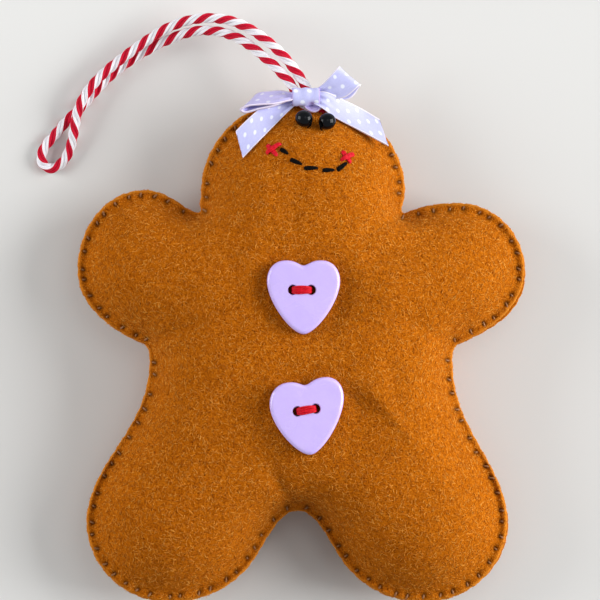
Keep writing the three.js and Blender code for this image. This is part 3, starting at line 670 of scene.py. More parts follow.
@dataclass(frozen=True)
class CordFinish:
    """Twisted cotton cord: plies of two colours by turns along UV across."""

    # Each colour has a darker copy, for painted shade between the strands.
    red: Colour = (0.640, 0.003, 0.034)
    red_dark: Colour = (0.420, 0.003, 0.016)
    white: Colour = (0.900, 0.895, 0.935)
    white_dark: Colour = (0.745, 0.710, 0.770)

    def material(self) -> bpy.types.Material:
        """Material of the cord."""
        material, g, shader = new_material("twisted_cotton_cord")
        uv = g.place("UV")
        yarn = g.group(spun_yarn(), uv, Strands=4.0, Slant=0.35)
        across = g.node("SeparateXYZ", {0: uv}).outputs[0]
        odd = g.math("GREATER_THAN", g.math("FRACT", g.math("MULTIPLY", across, 0.5)), 0.5)
        shade = g.span(yarn["Shade"], 0.15, 0.65)
        red, white = g.mix(shade, self.red_dark, self.red), g.mix(shade, self.white_dark, self.white)
        g.fill(shader, {
            "Base Color": g.mix(odd, red, white), "Roughness": 0.7, "Sheen Weight": 0.1,
            "Sheen Roughness": 0.4, "Specular IOR Level": 0.15,
            "Normal": g.bump(yarn["Height"], 0.6, 0.1),
        })
        return material


@dataclass(frozen=True)
class RibbonFinish:
    """Lavender satin ribbon: staggered white dots, pale selvedges, painted fold shade; UV in millimetres.
    """

    satin: Colour = (0.575, 0.590, 0.900)
    shade: Colour = (0.488, 0.492, 0.830)
    dot: Colour = (0.800, 0.835, 0.960)
    selvedge: Colour = (0.820, 0.770, 0.890)
    # Painted shade in folds and creases.
    fold_shade: Colour = (0.420, 0.250, 0.600)
    dot_radius: float = 0.47
    dot_blur: float = 0.14
    row_pitch: float = 2.8
    dot_pitch: float = 5.7
    half_width: float = 3.1

    def dots(self, g: Graph, uv: Socket) -> Socket:
        """Mask of the printed dots: nearness to two grids of points, one shifted by half a cell."""
        cell = (self.row_pitch, self.dot_pitch, 1.0)
        half = tuple(side / 2 for side in cell)
        nearest = []
        for share in (0.25, 0.75):
            moved = g.vector("ADD", uv, (share * cell[0], share * cell[1], 0.0))
            wrapped = g.vector("WRAP", moved, half, tuple(-side for side in half))
            flat = g.vector("MULTIPLY", wrapped, (1.0, 1.0, 0.0))
            nearest.append(g.node("VectorMath", {0: flat}, operation="LENGTH").outputs["Value"])
        gap = g.math("MINIMUM", *nearest)
        rough = g.math("MULTIPLY_ADD", g.noise(uv, 5.0, 1.0), 0.16, g.math("SUBTRACT", gap, 0.08))
        return g.span(rough, self.dot_radius - self.dot_blur, self.dot_radius + self.dot_blur, 1.0, 0.0)

    def material(self) -> bpy.types.Material:
        """Material of the ribbon."""
        material, g, shader = new_material("dotted_satin_ribbon")
        uv = g.place("UV")
        across = g.math("ABSOLUTE", g.node("SeparateXYZ", {0: uv}).outputs[0])
        warp = g.noise(g.vector("MULTIPLY", uv, (9.0, 0.8, 1.0)), 1.0, 2.0)
        weft = g.noise(g.vector("MULTIPLY", uv, (0.9, 7.0, 1.0)), 1.0, 1.0)
        grain = g.math("MULTIPLY_ADD", weft, 0.4, g.math("MULTIPLY", warp, 0.6))
        ground = g.mix(g.span(grain, 0.3, 0.7), self.shade, self.satin)
        edge = g.span(across, self.half_width - 0.32, self.half_width - 0.18)
        bare = g.mix(edge, ground, self.selvedge)
        dots = self.dots(g, uv)
        height = g.math("MULTIPLY_ADD", dots, 0.8, grain)
        printed = g.mix(dots, bare, self.dot)
        # Painted shade: the fold share darkens the ribbon towards a rose purple.
        g.fill(shader, {
            "Base Color": g.mix(g.carried("fold"), printed, self.fold_shade),
            "Roughness": g.span(grain, 0.2, 0.8, 0.36, 0.52), "Sheen Weight": 0.1,
            "Specular IOR Level": 0.25, "Normal": g.bump(height, 0.35, 0.05),
        })
        return material


@dataclass(frozen=True)
class GlossFinish:
    """Polished moulded resin or glass with faint handling marks."""

    name: str
    colour: Colour
    cloud: Colour
    roughness: float
    coat: float
    subsurface: float = 0.0
    gloss: float = 0.5

    def material(self) -> bpy.types.Material:
        """Material of a glossy piece."""
        material, g, shader = new_material(self.name)
        place = g.place()
        marks = g.group(handling_marks(), place, Smudge=160.0)
        worn = g.math("MULTIPLY_ADD", marks["Smudge"], 0.35 * self.roughness, self.roughness)
        milky = g.span(g.noise(place, 140.0, 3.0, 0.8), 0.3, 0.7)
        g.fill(shader, {
            "Base Color": g.mix(milky, self.cloud, self.colour),
            "Roughness": g.math("MULTIPLY_ADD", marks["Scratch"], 0.12, worn),
            "Specular IOR Level": self.gloss, "Coat Weight": self.coat, "Coat Roughness": 0.06,
            "Subsurface Weight": self.subsurface,
            "Subsurface Radius": (0.004, 0.003, 0.006), "Subsurface Scale": 0.3,
            "Normal": g.bump(marks["Scratch"], -0.08, 0.02),
        })
        return material


# Felt body


@dataclass(frozen=True)
class Pattern:
    """Paper pattern of the figure; each half runs from the head's top down to the crotch."""

    head_middle_x: float = 0.5
    head_top_y: float = 58.3
    head_side_y: float = 35.5
    head_width: float = 49.0
    neck_width: float = 47.8
    neck_y: float = 30.1
    arm_top_spacing: float = 75.2
    arm_top_y: float = 34.45
    arm_top_lean: float = 1.55
    arm_span: float = 107.3
    arm_tip_y: float = 16.8
    armpit_width: float = 73.0
    armpit_y: float = -1.6
    leg_span: float = 101.1
    leg_side_y: float = -43.2
    leg_lean: float = 1.0
    foot_spacing: float = 61.4
    foot_y: float = -62.9
    inner_leg_width: float = 19.8
    inner_leg_y: float = -51.8
    crotch: tuple[float, float] = (-0.8, -41.0)
    notch_trim: float = 1.8

    def half(self, side: int) -> Array:
        """Cubic curves of one half.

        Args:
            side: -1 for the left half, 1 for the right half.

        Returns:
            Control points, as (curve, control point, xy).
        """
        round_share = 0.5523  # handle share of a quarter ellipse
        trim = self.notch_trim
        top = np.array([self.head_middle_x, self.head_top_y])
        cheek = np.array([self.head_middle_x + side * self.head_width / 2, self.head_side_y])
        neck = np.array([side * self.neck_width / 2, self.neck_y])
        shoulder = np.array([side * self.arm_top_spacing / 2, self.arm_top_y - side * self.arm_top_lean])
        hand = np.array([side * self.arm_span / 2, self.arm_tip_y])
        armpit = np.array([side * self.armpit_width / 2, self.armpit_y])
        calf = np.array([side * self.leg_span / 2 - self.leg_lean, self.leg_side_y])
        foot = np.array([side * self.foot_spacing / 2 - self.leg_lean, self.foot_y])
        inner = np.array([self.crotch[0] + side * self.inner_leg_width / 2, self.inner_leg_y])
        crotch = np.array(self.crotch)

        def off(point: Array, dx: float, dy: float) -> Array:
            """Point moved outwards by dx and up by dy."""
            return point + (side * dx, dy)

        def quarter(a: Array, b: Array, level_first: bool) -> tuple[Array, ...]:
            """Quarter ellipse from a to b."""
            corner = np.array([b[0], a[1]] if level_first else [a[0], b[1]])
            return a, a + round_share * (corner - a), b + round_share * (corner - b), b

        def notch(a: Array, tip: Array, b: Array) -> tuple[Array, ...]:
            """Rounded corner from a to b."""
            return a, a + 2 / 3 * (tip - a), b + 2 / 3 * (tip - b), b

        neck_head, neck_arm = off(neck, 0.15 * trim, trim), off(neck, 0.93 * trim, 0.36 * trim)
        pit_arm, pit_flank = off(armpit, 0.92 * trim, 0.4 * trim), off(armpit, -0.05 * trim, -trim)
        return np.array([
            quarter(top, cheek, True),
            (cheek, off(cheek, 0, -1.6), off(neck_head, 0.3, 1.2), neck_head),
            notch(neck_head, neck, neck_arm),
            (neck_arm, off(neck_arm, 3.2, 1.3), off(shoulder, -5.5, 0), shoulder),
            quarter(shoulder, hand, True),
            (hand, off(hand, 0, -9.2), off(pit_arm, 6.6, 2.9), pit_arm),
            notch(pit_arm, armpit, pit_flank),
            (pit_flank, off(pit_flank, -0.8, -18), off(calf, -1.2, 15.5), calf),
            quarter(calf, foot, False),
            (foot, off(foot, -9.5, 0), off(inner, 4.2, -6.6), inner),
            (inner, off(inner, -2.6, 4.1), off(crotch, 4.3, 0), crotch),
        ])

    def outline(self, count: int) -> Array:
        """Even points round the figure, counter-clockwise from the head's top."""
        left, right = (bezier(self.half(side), 120) for side in (-1, 1))
        return evenly(np.vstack([left, self.crotch, right[:0:-1]]), count, closed=True)


@dataclass(frozen=True)
class Crease:
    """Soft dent that runs into the felt from a notch of the outline."""

    start: tuple[float, float]
    heading: float
    length: float
    depth: float
    width: float

    def depth_at(self, xy: Array) -> Array:
        """Depth at each place: a bell across the crease that fades along it."""
        turn = math.radians(self.heading)
        away = xy - self.start
        along = away @ (math.cos(turn), math.sin(turn))
        across = away @ (-math.sin(turn), math.cos(turn))
        fade = smooth_step(along, -1.5, 1.5) * (1 - smooth_step(along, 0.25 * self.length, self.length))
        spread = self.width * (0.6 + 0.9 * np.clip(along / self.length, 0, 1))
        return self.depth * fade * bell(across, spread)


@dataclass
class PillowCloth:
    """Cloth simulation of the stuffed felt on a coarse grid; it gives a change of height to the panels.

    The grid has stations along the outline and rings from the middle outwards, on both faces.
    """

    stations: int = 228
    rings: int = 26
    crowd: float = 1.25
    frames: int = 20
    pressure: float = 4.0
    growth: float = 0.035
    cap: float = 1.1
    still: tuple[Point, ...] = ((0.4, 10.4, 8.0), (1.3, -18.2, 8.0), (3.6, 52.2, 5.5))
    still_fade: float = 6.0
    changes: dict[Face, Array] = field(default_factory=dict)

    def ring_shares(self) -> Array:
        """Share of the way from the middle to the edge for each ring."""
        return 1 - (1 - np.linspace(0, 1, self.rings + 1)[1:]) ** self.crowd

    def settle(self, body: "FeltBody") -> None:
        """Blow up the closed pillow between its pinned seam and keep what the cloth changed.

        Args:
            body: Felt body that gives the starting heights.
        """
        self.edge = body.edge[::len(body.edge) // self.stations]
        self.middle = np.array(body.middle)
        xy = self.middle + self.ring_shares()[:, None, None] * (self.edge - self.middle)
        flat = xy.reshape(-1, 2)
        far = body.seam_distance(flat)
        starts = {Face.FRONT: body.front(flat, far), Face.BACK: body.back(flat, far)}
        starts = {face: z.reshape(xy.shape[:2]) for face, z in starts.items()}
        starts[Face.FRONT][-1] = body.seam_height
        rows = np.concatenate([raised(xy, starts[Face.FRONT]), raised(xy, starts[Face.BACK])[-2::-1]])
        shape = rings_shape(rows).flipped()
        pins = np.arange((self.rings - 1) * self.stations, self.rings * self.stations)
        moved = self.run(shape, pins)[:rows.shape[0] * self.stations, 2].reshape(len(rows), self.stations)
        swell = body.rise(far).reshape(xy.shape[:2])
        back = np.vstack([moved[self.rings:][::-1], moved[self.rings - 1]])
        ends = {Face.FRONT: moved[:self.rings], Face.BACK: back}
        free = np.ones(len(flat))
        for x, y, radius in self.still:
            free *= smooth_step(np.hypot(*(flat - (x, y)).T), radius, radius + self.still_fade)
        for face, z in ends.items():
            change = z - starts[face]
            change[-1] = 0.0
            change = change - swell * change.sum() / swell.sum()
            change = self.cap * np.tanh(change / self.cap) * free.reshape(z.shape)
            self.changes[face] = np.vstack([np.full(self.stations, change[0].mean()), change])

    def run(self, shape: Shape, pins: Array) -> Array:
        """Simulate a surface with pinned points.

        Args:
            shape: Surface to simulate, in millimetres.
            pins: Numbers of its pinned points.

        Returns:
            The points afterwards, in millimetres.
        """
        pillow = mesh_piece("pillow_cloth", shape, bpy.data.materials.new("pillow_cloth"))
        pillow.vertex_groups.new(name="seam").add(pins.tolist(), 1.0, "REPLACE")
        cloth = pillow.modifiers.new("cloth", "CLOTH")
        how = cloth.settings
        how.quality, how.mass, how.vertex_group_mass = 6, 0.15, "seam"
        how.tension_stiffness, how.compression_stiffness, how.bending_stiffness = 15.0, 8.0, 0.3
        how.use_pressure, how.uniform_pressure_force, how.shrink_min = True, self.pressure, -self.growth
        how.effector_weights.gravity = 0.0
        cloth.collision_settings.use_collision = False
        cloth.point_cache.frame_start, cloth.point_cache.frame_end = 1, self.frames
        scene = bpy.context.scene
        for step in range(1, self.frames + 1):
            scene.frame_set(step)
        result = pillow.evaluated_get(bpy.context.evaluated_depsgraph_get()).to_mesh()
        places = np.empty(3 * len(result.vertices), np.float32)
        result.vertices.foreach_get("co", places)
        scene.frame_set(1)
        mesh = pillow.data
        bpy.data.objects.remove(pillow)
        bpy.data.materials.remove(mesh.materials[0])
        bpy.data.meshes.remove(mesh)
        return places.reshape(-1, 3).astype(float) / MM

    def change(self, xy: Array, face: Face) -> Array:
        """Change of height at places, by cubic steps between the grid's points.

        Args:
            xy: Places, one row each.
            face: Panel that the places lie on.

        Returns:
            The change at each place, 0 before the cloth has settled.
        """
        if face not in self.changes:
            return np.zeros(len(xy))
        grid = self.changes[face]
        spokes = self.edge - self.middle
        angles = np.unwrap(np.arctan2(spokes[:, 1], spokes[:, 0]))
        away = xy - self.middle
        turn = (np.arctan2(away[:, 1], away[:, 0]) - angles[0]) % TAU + angles[0]
        column = np.interp(turn, np.append(angles, angles[0] + TAU), np.arange(self.stations + 1))
        reach = np.linalg.norm(spokes, axis=1)
        limit = np.interp(column, np.arange(self.stations + 1), np.append(reach, reach[0]))
        share = np.clip(np.linalg.norm(away, axis=1) / limit, 0, 1)
        row = self.rings * (1 - (1 - share) ** (1 / self.crowd))
        total = np.zeros(len(xy))
        for i, by_row in self.cubic(row % 1):
            lines = np.clip(np.floor(row).astype(int) + i, 0, self.rings)
            for j, by_column in self.cubic(column % 1):
                spoke = (np.floor(column).astype(int) + j) % self.stations
                total += by_row * by_column * grid[lines, spoke]
        return total

    @staticmethod
    def cubic(t: Array) -> list[tuple[int, Array]]:
        """Steps and weights of a smoothing cubic at share t between two grid points."""
        return [(-1, (1 - t) ** 3 / 6), (0, (3 * t**3 - 6 * t**2 + 4) / 6),
                (1, (-3 * t**3 + 3 * t**2 + 3 * t + 1) / 6), (2, t**3 / 6)]


@dataclass(frozen=True)
class Pucker:
    """What sewing does to the felt, in millimetres: depths, and widths of the bells that shape them."""

    pit_depth: float = 0.5
    pit_width: float = 0.5
    dimple_depth: float = 0.25
    dimple_width: float = 1.4
    turned_drop: float = 0.34
    turned_width: float = 0.32
    ridge_height: float = 0.06
    ridge_place: float = 0.7
    ridge_width: float = 0.4
    groove_depth: float = 0.07
    groove_width: float = 0.42
    draw_in: float = 0.16
    stitch_draw_in: float = 0.14
    stitch_draw_width: float = 0.62


@dataclass
class FeltBody:
    """Two felt panels over a filling, sewn together round the edge with overcast stitches.

    Pairs named mark are the strength and the width of a colour mark: painted shade at the needle holes, and
    the cut edge's paler colour with a painted highlight along the edge. Each of the leg's rows gives the
    share of the needle's depth, the way from there towards the middle, and the height over the felt.
    """

    pattern: Pattern = field(default_factory=Pattern)
    finish: FeltFinish = field(default_factory=FeltFinish)
    cloth: PillowCloth = field(default_factory=PillowCloth)
    pucker: Pucker = field(default_factory=Pucker)
    thickness: float = 1.2
    seam_height: float = 9.5
    seam_gap: float = 0.3
    seam_margin: float = 1.6
    front_crown: float = 16.0
    back_crown: float = 12.0
    plump_reach: float = 12.0
    plump_softness: float = 0.09
    plump_drop: float = 0.006
    lumpiness: float = 2.4
    back_dents: float = 0.8
    rest_softness: float = 0.5
    middle: tuple[float, float] = (0.2, 9.0)
    stations: int = 1140
    rings: int = 60
    ring_crowd: float = 1.6
    inner_rings: int = 14
    rim_bulge: float = 0.16
    rim_turns: tuple[float, ...] = (50.0, 0.0, -50.0)
    seam_waves: tuple[Point, ...] = ((0.35, 3, 0.4), (0.25, 7, 1.9), (0.12, 16, 0.0))
    wave_reach: float = 5.0
    overhangs: tuple[Point, ...] = ((50.5, 8.0, 0.65), (44.0, -48.0, 0.45))
    overhang_reach: float = 9.0
    filling_inset: float = 1.2
    filling_gap: float = 0.5
    filling_slope: float = 2.6
    filling_split: float = 0.05
    stitch_pitch: float = 3.8
    stitch_jitter: float = 0.19
    stitch_depth: float = 1.5
    depth_jitter: tuple[float, float] = (-0.2, 0.25)
    stitch_zone: float = 6.0
    least_pull: float = 0.3
    thread_radius: float = 0.25
    leg: tuple[Point, ...] = (
        (1, 0.26, -0.7), (1, 0.16, -0.06), (1, -0.05, 0.25), (1, -0.3, 0.2), (1, -0.55, -0.22),
        (0, 0.45, -0.5), (0, 0.4, -0.9),
    )
    leg_reach: tuple[float, float] = (0.9, 1.6)
    leg_lean: tuple[float, float] = (0.05, 0.7)
    run_inset: float = 0.45
    run_pull: float = 0.1
    run_pull_width: float = 0.9
    # Painted shade at needle holes and groove, most on right-facing edges; painted edge highlight.
    pit_shade_mark: tuple[float, float] = (0.92, 0.64)
    cut_edge_and_highlight_mark: tuple[float, float] = (0.8, 0.45)
    groove_shade: float = 0.14
    bare_hearts: tuple[Point, ...] = ((0.2, 10.6, 7.4), (1.3, -18.0, 7.4))
    bare_pit: float = 0.8
    creases: tuple[Crease, ...] = (
        Crease((-36.5, -1.6), 28, 15, 0.9, 1.6), Crease((-36.5, -1.6), -22, 12, 0.6, 1.5),
        Crease((36.5, -1.6), 150, 15, 0.9, 1.6), Crease((36.5, -1.6), 205, 11, 0.5, 1.5),
        Crease((-23.9, 30.1), -28, 13, 0.7, 1.6), Crease((23.9, 30.1), 205, 13, 0.7, 1.6),
        Crease((-1.2, -41.0), 121, 17, 1.9, 1.9), Crease((-0.8, -41.0), 62, 11, 0.5, 1.6),
    )
    seed: int = 5

    def __post_init__(self) -> None:
        """Work out the outline, its inward normals and the places of the stitches."""
        self.edge = self.pattern.outline(self.stations)
        self.corners = self.pattern.outline(self.stations // 2)
        self.inward = inward_normals(self.edge)
        self.total = lengths_along(np.vstack([self.edge, self.edge[:1]]))[-1]
        rng = np.random.default_rng(self.seed)
        count = round(self.total / self.stitch_pitch)
        jitter = rng.uniform(-self.stitch_jitter, self.stitch_jitter, count)
        self.stitches = (np.arange(count) + jitter) * self.total / count
        self.depths = self.stitch_depth + rng.uniform(*self.depth_jitter, count)
        self.places = np.arange(self.stations) * self.total / self.stations
        on_right = smooth_step(-self.inward[:, 0], 0.1, 0.8)
        self.pull = self.least_pull + (1 - self.least_pull) * on_right
        turn = self.places / self.total * TAU
        self.wave = sum(high * np.sin(times * turn + start) for high, times, start in self.seam_waves)
        spot, normal, _ = self.edge_spots(self.stitches)
        self.needles = spot + self.depths[:, None] * normal

    def to_stitch(self, places: Array) -> Array:
        """Distance to the nearest stitch, from distances along the outline."""
        half = self.total / 2
        return np.abs((places[:, None] - self.stitches + half) % self.total - half).min(axis=1)

    @property
    def margin_top(self) -> float:
        """Height of the front panel's flat margin."""
        return self.seam_height + self.seam_gap / 2 + self.thickness

    @property
    def margin_under(self) -> float:
        """Height of the back panel's flat margin."""
        return self.seam_height - self.seam_gap / 2 - self.thickness

    def seam_distance(self, xy: Array) -> Array:
        """Distance to the seam as the harmonic mean over all directions.

        It is 2 / sum of tan(angle / 2) * (1 / ra + 1 / rb) over the outline's edges, where each edge is
        seen under its angle from distances ra and rb.

        Args:
            xy: Places, one row each.

        Returns:
            The distance at each place, 0 outside.
        """
        parts = []
        for block in np.array_split(xy, max(1, len(xy) // 4000)):
            a = self.corners[None] - block[:, None]
            b = np.roll(a, -1, axis=1)
            ra, rb = np.linalg.norm(a, axis=2) + 1e-9, np.linalg.norm(b, axis=2) + 1e-9
            cross = a[..., 0] * b[..., 1] - a[..., 1] * b[..., 0]
            cross = np.where(np.abs(cross) < 1e-9, 1e-9, cross)
            weight = ((ra * rb - (a * b).sum(2)) / cross * (1 / ra + 1 / rb)).sum(1)
            parts.append(np.where(weight > 0, 2 / np.maximum(weight, 1e-6), 0.0))
        return np.concatenate(parts)

    def rise(self, distance: Array) -> Array:
        """Share of the full swell: s(2 - s), where s grows with the distance past the margin."""
        share = (distance - self.seam_margin) / self.plump_reach
        eased = (share + np.sqrt(share**2 + self.plump_softness**2)) / 2
        soft = np.clip(eased - self.plump_drop, 0, 1)
        return soft * (2 - soft)

    def lumps(self, xy: Array) -> Array:
        """Uneven filling: a few long waves across the figure."""
        waves = np.array([(0.17, 0.09, 0.4), (-0.11, 0.2, 2.1), (0.29, -0.13, 4.0), (0.08, 0.33, 1.2)])
        heights = np.array([0.16, 0.14, 0.09, 0.08])
        return np.sin(xy @ waves[:, :2].T + waves[:, 2]) @ heights

    def dents(self, xy: Array) -> Array:
        """Depth of all creases at each place."""
        return sum(crease.depth_at(xy) for crease in self.creases)

    def front(self, xy: Array, distance: Array | None = None) -> Array:
        """Height of the front felt, without its stitch puckers."""
        swell = self.rise(self.seam_distance(xy) if distance is None else distance)
        soft = swell * (1 - swell) * self.lumpiness
        shaped = self.front_crown * swell + soft * self.lumps(xy) - self.dents(xy) * swell
        return self.margin_top + shaped + self.cloth.change(xy, Face.FRONT)

    def back(self, xy: Array, distance: Array | None = None) -> Array:
        """Height of the back felt, pressed flat where it rests."""
        swell = self.rise(self.seam_distance(xy) if distance is None else distance)
        free = self.margin_under - self.back_crown * swell + self.back_dents * swell * self.dents(xy)
        free = free + self.cloth.change(xy, Face.BACK)
        return (free + np.sqrt(free**2 + self.rest_softness**2)) / 2

    def on_front(self, xy: Array) -> tuple[Array, Array]:
        """Points of the front felt above places, and its normals there."""
        step = 0.2
        z = self.front(xy)
        slope_x = (self.front(xy + (step, 0)) - self.front(xy - (step, 0))) / (2 * step)
        slope_y = (self.front(xy + (0, step)) - self.front(xy - (0, step))) / (2 * step)
        normal = unit(np.stack([-slope_x, -slope_y, np.ones_like(z)], axis=1))
        return np.column_stack([xy, z]), normal

    def rim(self, face: Face) -> Array:
        """Cut edge of a panel: drawn in at each stitch, and further out at the back's overhangs."""
        dip = bell(self.to_stitch(self.places), self.pucker.stitch_draw_width)
        shift = self.pucker.draw_in + self.pucker.stitch_draw_in * dip
        if face is Face.BACK:
            spots = np.array(self.overhangs)
            reach = np.linalg.norm(self.edge[:, None] - spots[:, :2], axis=2)
            shift = shift - (bell(reach, self.overhang_reach) * spots[:, 2]).sum(axis=1)
        return self.edge + shift[:, None] * self.inward

    def needle_distance(self, xy: Array, distance: Array) -> Array:
        """Distance to the nearest needle point; places far from the seam get a large one."""
        away = np.full(distance.shape, 99.0)
        near = distance < self.stitch_zone
        gaps = xy[near][:, None] - self.needles
        away[near] = np.sqrt((gaps**2).sum(axis=2).min(axis=1))
        return away

    def puckers(self, distance: Array, needle: Array, pull: Array) -> Array:
        """Change of height by the stitches: a groove, a pit at each needle point and a turned edge.

        Args:
            distance: Distance to the seam.
            needle: Distance to the nearest needle point.
            pull: Share of the groove's depth at each station.

        Returns:
            The change, below 0 for a dent.
        """
        p = self.pucker
        pit = p.pit_depth * bell(needle, p.pit_width) + p.dimple_depth * bell(needle, p.dimple_width)
        ridge = p.ridge_height * bell(distance - p.ridge_place, p.ridge_width)
        turned = p.turned_drop * bell(distance, p.turned_width) - ridge
        return -pit - turned - p.groove_depth * pull * self.groove(distance)

    def groove(self, distance: Array) -> Array:
        """Share of the groove's depth: a bell round the line of the needle points."""
        return bell(distance - self.stitch_depth, self.pucker.groove_width)

    def panel(self, face: Face) -> tuple[Shape, int, Array]:
        """Felt panel on a grid of station along the outline and ring from the middle outwards.

        A place is middle + t * (edge - middle); its height comes from the distance to the seam, with
        puckers from the stitches, and the lower skin lies one felt thickness inside.

        Args:
            face: Side that the panel covers.

        Returns:
            The closed surface, how many of its first faces are outer skin and cut edge, and two rows with
            each point's share of painted stitch shade and of the cut edge's paler colour with a painted
            highlight.
        """
        sign = face.value
        edge = self.rim(face)
        t = 1 - (1 - np.linspace(0, 1, self.rings + 1)[1:]) ** self.ring_crowd
        outer_xy = self.middle + t[:, None, None] * (edge - self.middle)
        flat = outer_xy.reshape(-1, 2)
        far = self.seam_distance(flat).reshape(outer_xy.shape[:2])
        far[-1] = 0.0
        height = self.front if face is Face.FRONT else self.back
        outer_z = height(flat, far.ravel()).reshape(far.shape)
        needle = self.needle_distance(outer_xy, far)
        wave = self.wave * bell(far, self.wave_reach)
        outer_z = outer_z + sign * self.puckers(far, needle, self.pull) + wave
        if face is Face.BACK:
            outer_z = np.maximum(outer_z, 0.0)
        picks = np.linspace(self.rings - 1, 0, self.inner_rings).round().astype(int)
        slope = 2 * self.front_crown / self.plump_reach * np.sqrt(1 - self.rise(far[picks]))
        steep = np.sqrt(1 + slope**2)
        inner_z = outer_z[picks] - sign * self.thickness * np.where(far[picks] < 0.1, 1.0, steep)
        limit = self.seam_height + sign * self.seam_gap / 2 + wave[picks]
        inner_z = np.where(sign * (inner_z - limit) < 0, limit, inner_z)
        turn = np.radians(self.rim_turns)
        out = self.rim_bulge * np.cos(turn)[:, None, None] * -self.inward
        half = (outer_z[-1] - inner_z[0]) / 2
        rim_z = inner_z[0] + half + half * np.sin(turn)[:, None]
        rows = np.concatenate([
            raised(outer_xy, outer_z), raised(edge + out, rim_z), raised(outer_xy[picks], inner_z),
        ])
        shape = rings_shape(rows).flipped()
        places, columns = shape.points[:, :2], self.stations
        shape.quad_uv, shape.tri_uv = places[shape.quads], places[shape.tris]
        marks = np.zeros((2, len(shape.points)))
        # Painted shade at the needle holes and the groove, darkest on right-facing edges, and a painted
        # highlight on the cut edge.
        uneven = 0.5 + 0.5 * np.sin(1.1 * self.places + 6.0 * self.wave)
        shade = self.groove_shade * self.pull**2 * self.groove(far) * uneven
        marks[0, :far.size] = np.maximum(self.pit_shade_mark[0] * bell(needle, self.pit_shade_mark[1]), shade).ravel()
        marks[1, :far.size] = (self.cut_edge_and_highlight_mark[0] * bell(far, self.cut_edge_and_highlight_mark[1])).ravel()
        marks[1, far.size:far.size + len(turn) * columns] = self.cut_edge_and_highlight_mark[0]
        return (shape if face is Face.FRONT else shape.flipped()), (self.rings + 2) * columns, marks

    def filling(self) -> Shape:
        """Plump filling: the two panels' inner skins, brought together inside the margin."""
        edge = self.edge[::4] + (self.seam_margin + self.filling_inset) * self.inward[::4]
        t = np.sqrt(np.linspace(0, 1, 20)[1:])[:, None, None]
        xy = self.middle + t * (edge - self.middle)
        flat = xy.reshape(-1, 2)
        far = self.seam_distance(flat)
        steep = np.sqrt(1 + (self.filling_slope * (1 - self.rise(far))) ** 2)
        gap = (self.thickness + self.filling_gap) * steep
        top = np.maximum(self.front(flat, far) - gap, self.seam_height + self.filling_split)
        low = np.minimum(self.back(flat, far) + gap, self.seam_height - self.filling_split)
        upper, lower = (raised(xy, z.reshape(xy.shape[:2])) for z in (top, low))
        return rings_shape(np.concatenate([upper, lower[::-1]])).flipped()

    def edge_spots(self, stations: Array) -> tuple[Array, Array, Array]:
        """Edge point, inward direction and seam wave at distances along the outline."""
        share = stations / self.total * self.stations
        low = np.floor(share).astype(int) % self.stations
        high, rest = (low + 1) % self.stations, (share % 1)[:, None]
        spot = self.edge[low] * (1 - rest) + self.edge[high] * rest
        normal = unit(self.inward[low] * (1 - rest) + self.inward[high] * rest)
        return spot, normal, self.wave[low] * (1 - rest[:, 0]) + self.wave[high] * rest[:, 0]

    def stitch_line(self) -> Shape:
        """Overcast stitches: a leg over both felts at each needle point, and a run between the felts.

        A leg is a thread carried along a curve in the plane square to the edge. It comes up at the needle
        point, shows as a short bead, sinks into the felt towards the edge and does the same on the back.
        """
        r = self.thread_radius
        spot, normal, wave = self.edge_spots(self.stitches)
        depth = self.depths
        share, step, lift = np.array(self.leg).T[:, :, None]
        rng = np.random.default_rng(self.seed + 1)
        reach = np.where(share > 0, rng.uniform(*self.leg_reach, len(depth)), 1.0)
        far = depth * share + reach * step
        lean = rng.uniform(*self.leg_lean, (len(depth), 1))
        along = np.stack([normal[:, 1], -normal[:, 0]], axis=1)
        xy = spot + far[..., None] * normal + lean * (far - depth)[..., None] * along
        flat = xy.reshape(-1, 2)
        seam = self.seam_distance(flat)
        pull = np.interp(self.stitches, self.places, self.pull)
        sink = self.puckers(seam.reshape(far.shape), np.abs(far - depth), pull) + lift
        over = self.front(flat, seam).reshape(far.shape) + sink + wave
        below = self.back(flat, seam).reshape(far.shape) - sink + wave
        lines = np.concatenate([raised(xy, over), raised(xy, below)[::-1]])
        shapes = [sweep(lines[:, i], circle(r, 6), np.array([*along[i], 0.0])) for i in range(len(depth))]
        places = np.linspace(0, self.total, 4 * len(depth), endpoint=False)
        spot, normal, wave = self.edge_spots(places)
        inset = self.run_inset + self.run_pull * bell(self.to_stitch(places), self.run_pull_width)
        run = np.column_stack([spot + inset[:, None] * normal, self.seam_height + wave])
        shapes.append(sweep(spline(run, 2, closed=True), circle(0.8 * r, 6), UP, closed=True))
        return Shape.joined(shapes)

    def dress(self) -> None:
        felt, fuzz = self.finish.material(), self.finish.fuzz_material()
        filling = mesh_piece("filling", self.filling(), FillingFinish().material())
        settle(filling, Body.FIGURE, "filling", "stuffing")
        pits = np.column_stack([self.needles, np.full(len(self.needles), self.bare_pit)])
        bare = {Face.FRONT: np.vstack([self.bare_hearts, pits]), Face.BACK: pits}
        for face, node, count, layers in (
            (Face.FRONT, "front_felt", 12000, ("fuzz", "nap")), (Face.BACK, "back_felt", 9000, ("fuzz",)),
        ):
            name = face.name.lower()
            shape, skin, marks = self.panel(face)
            panel = mesh_piece(f"{name}_panel", shape, felt)
            # Painted stitch shade and painted edge highlight for the felt's material.
            carry(panel, "pit", marks[0])
            carry(panel, "rim", marks[1])
            settle(panel, Body.FIGURE, "felt", node)
            for seed, layer in enumerate(layers, 11 + 7 * face.value):
                fibres, tone = Fuzz(count, seed).build(shape, skin, bare[face])
                piece = mesh_piece(f"{name}_{layer}", fibres, fuzz, "OFBake")
                carry(piece, "tone", tone)
                settle(piece, Body.FIGURE, "felt")
        floss = FlossFinish("seam_floss", (0.440, 0.205, 0.080), (0.150, 0.055, 0.018),
                            roughness=0.34, sheen=0.0, gloss=0.22)
        stitches = mesh_piece("edge_stitches", self.stitch_line(), floss.material())
        settle(stitches, Body.FIGURE, "seam_floss", "seam_thread")


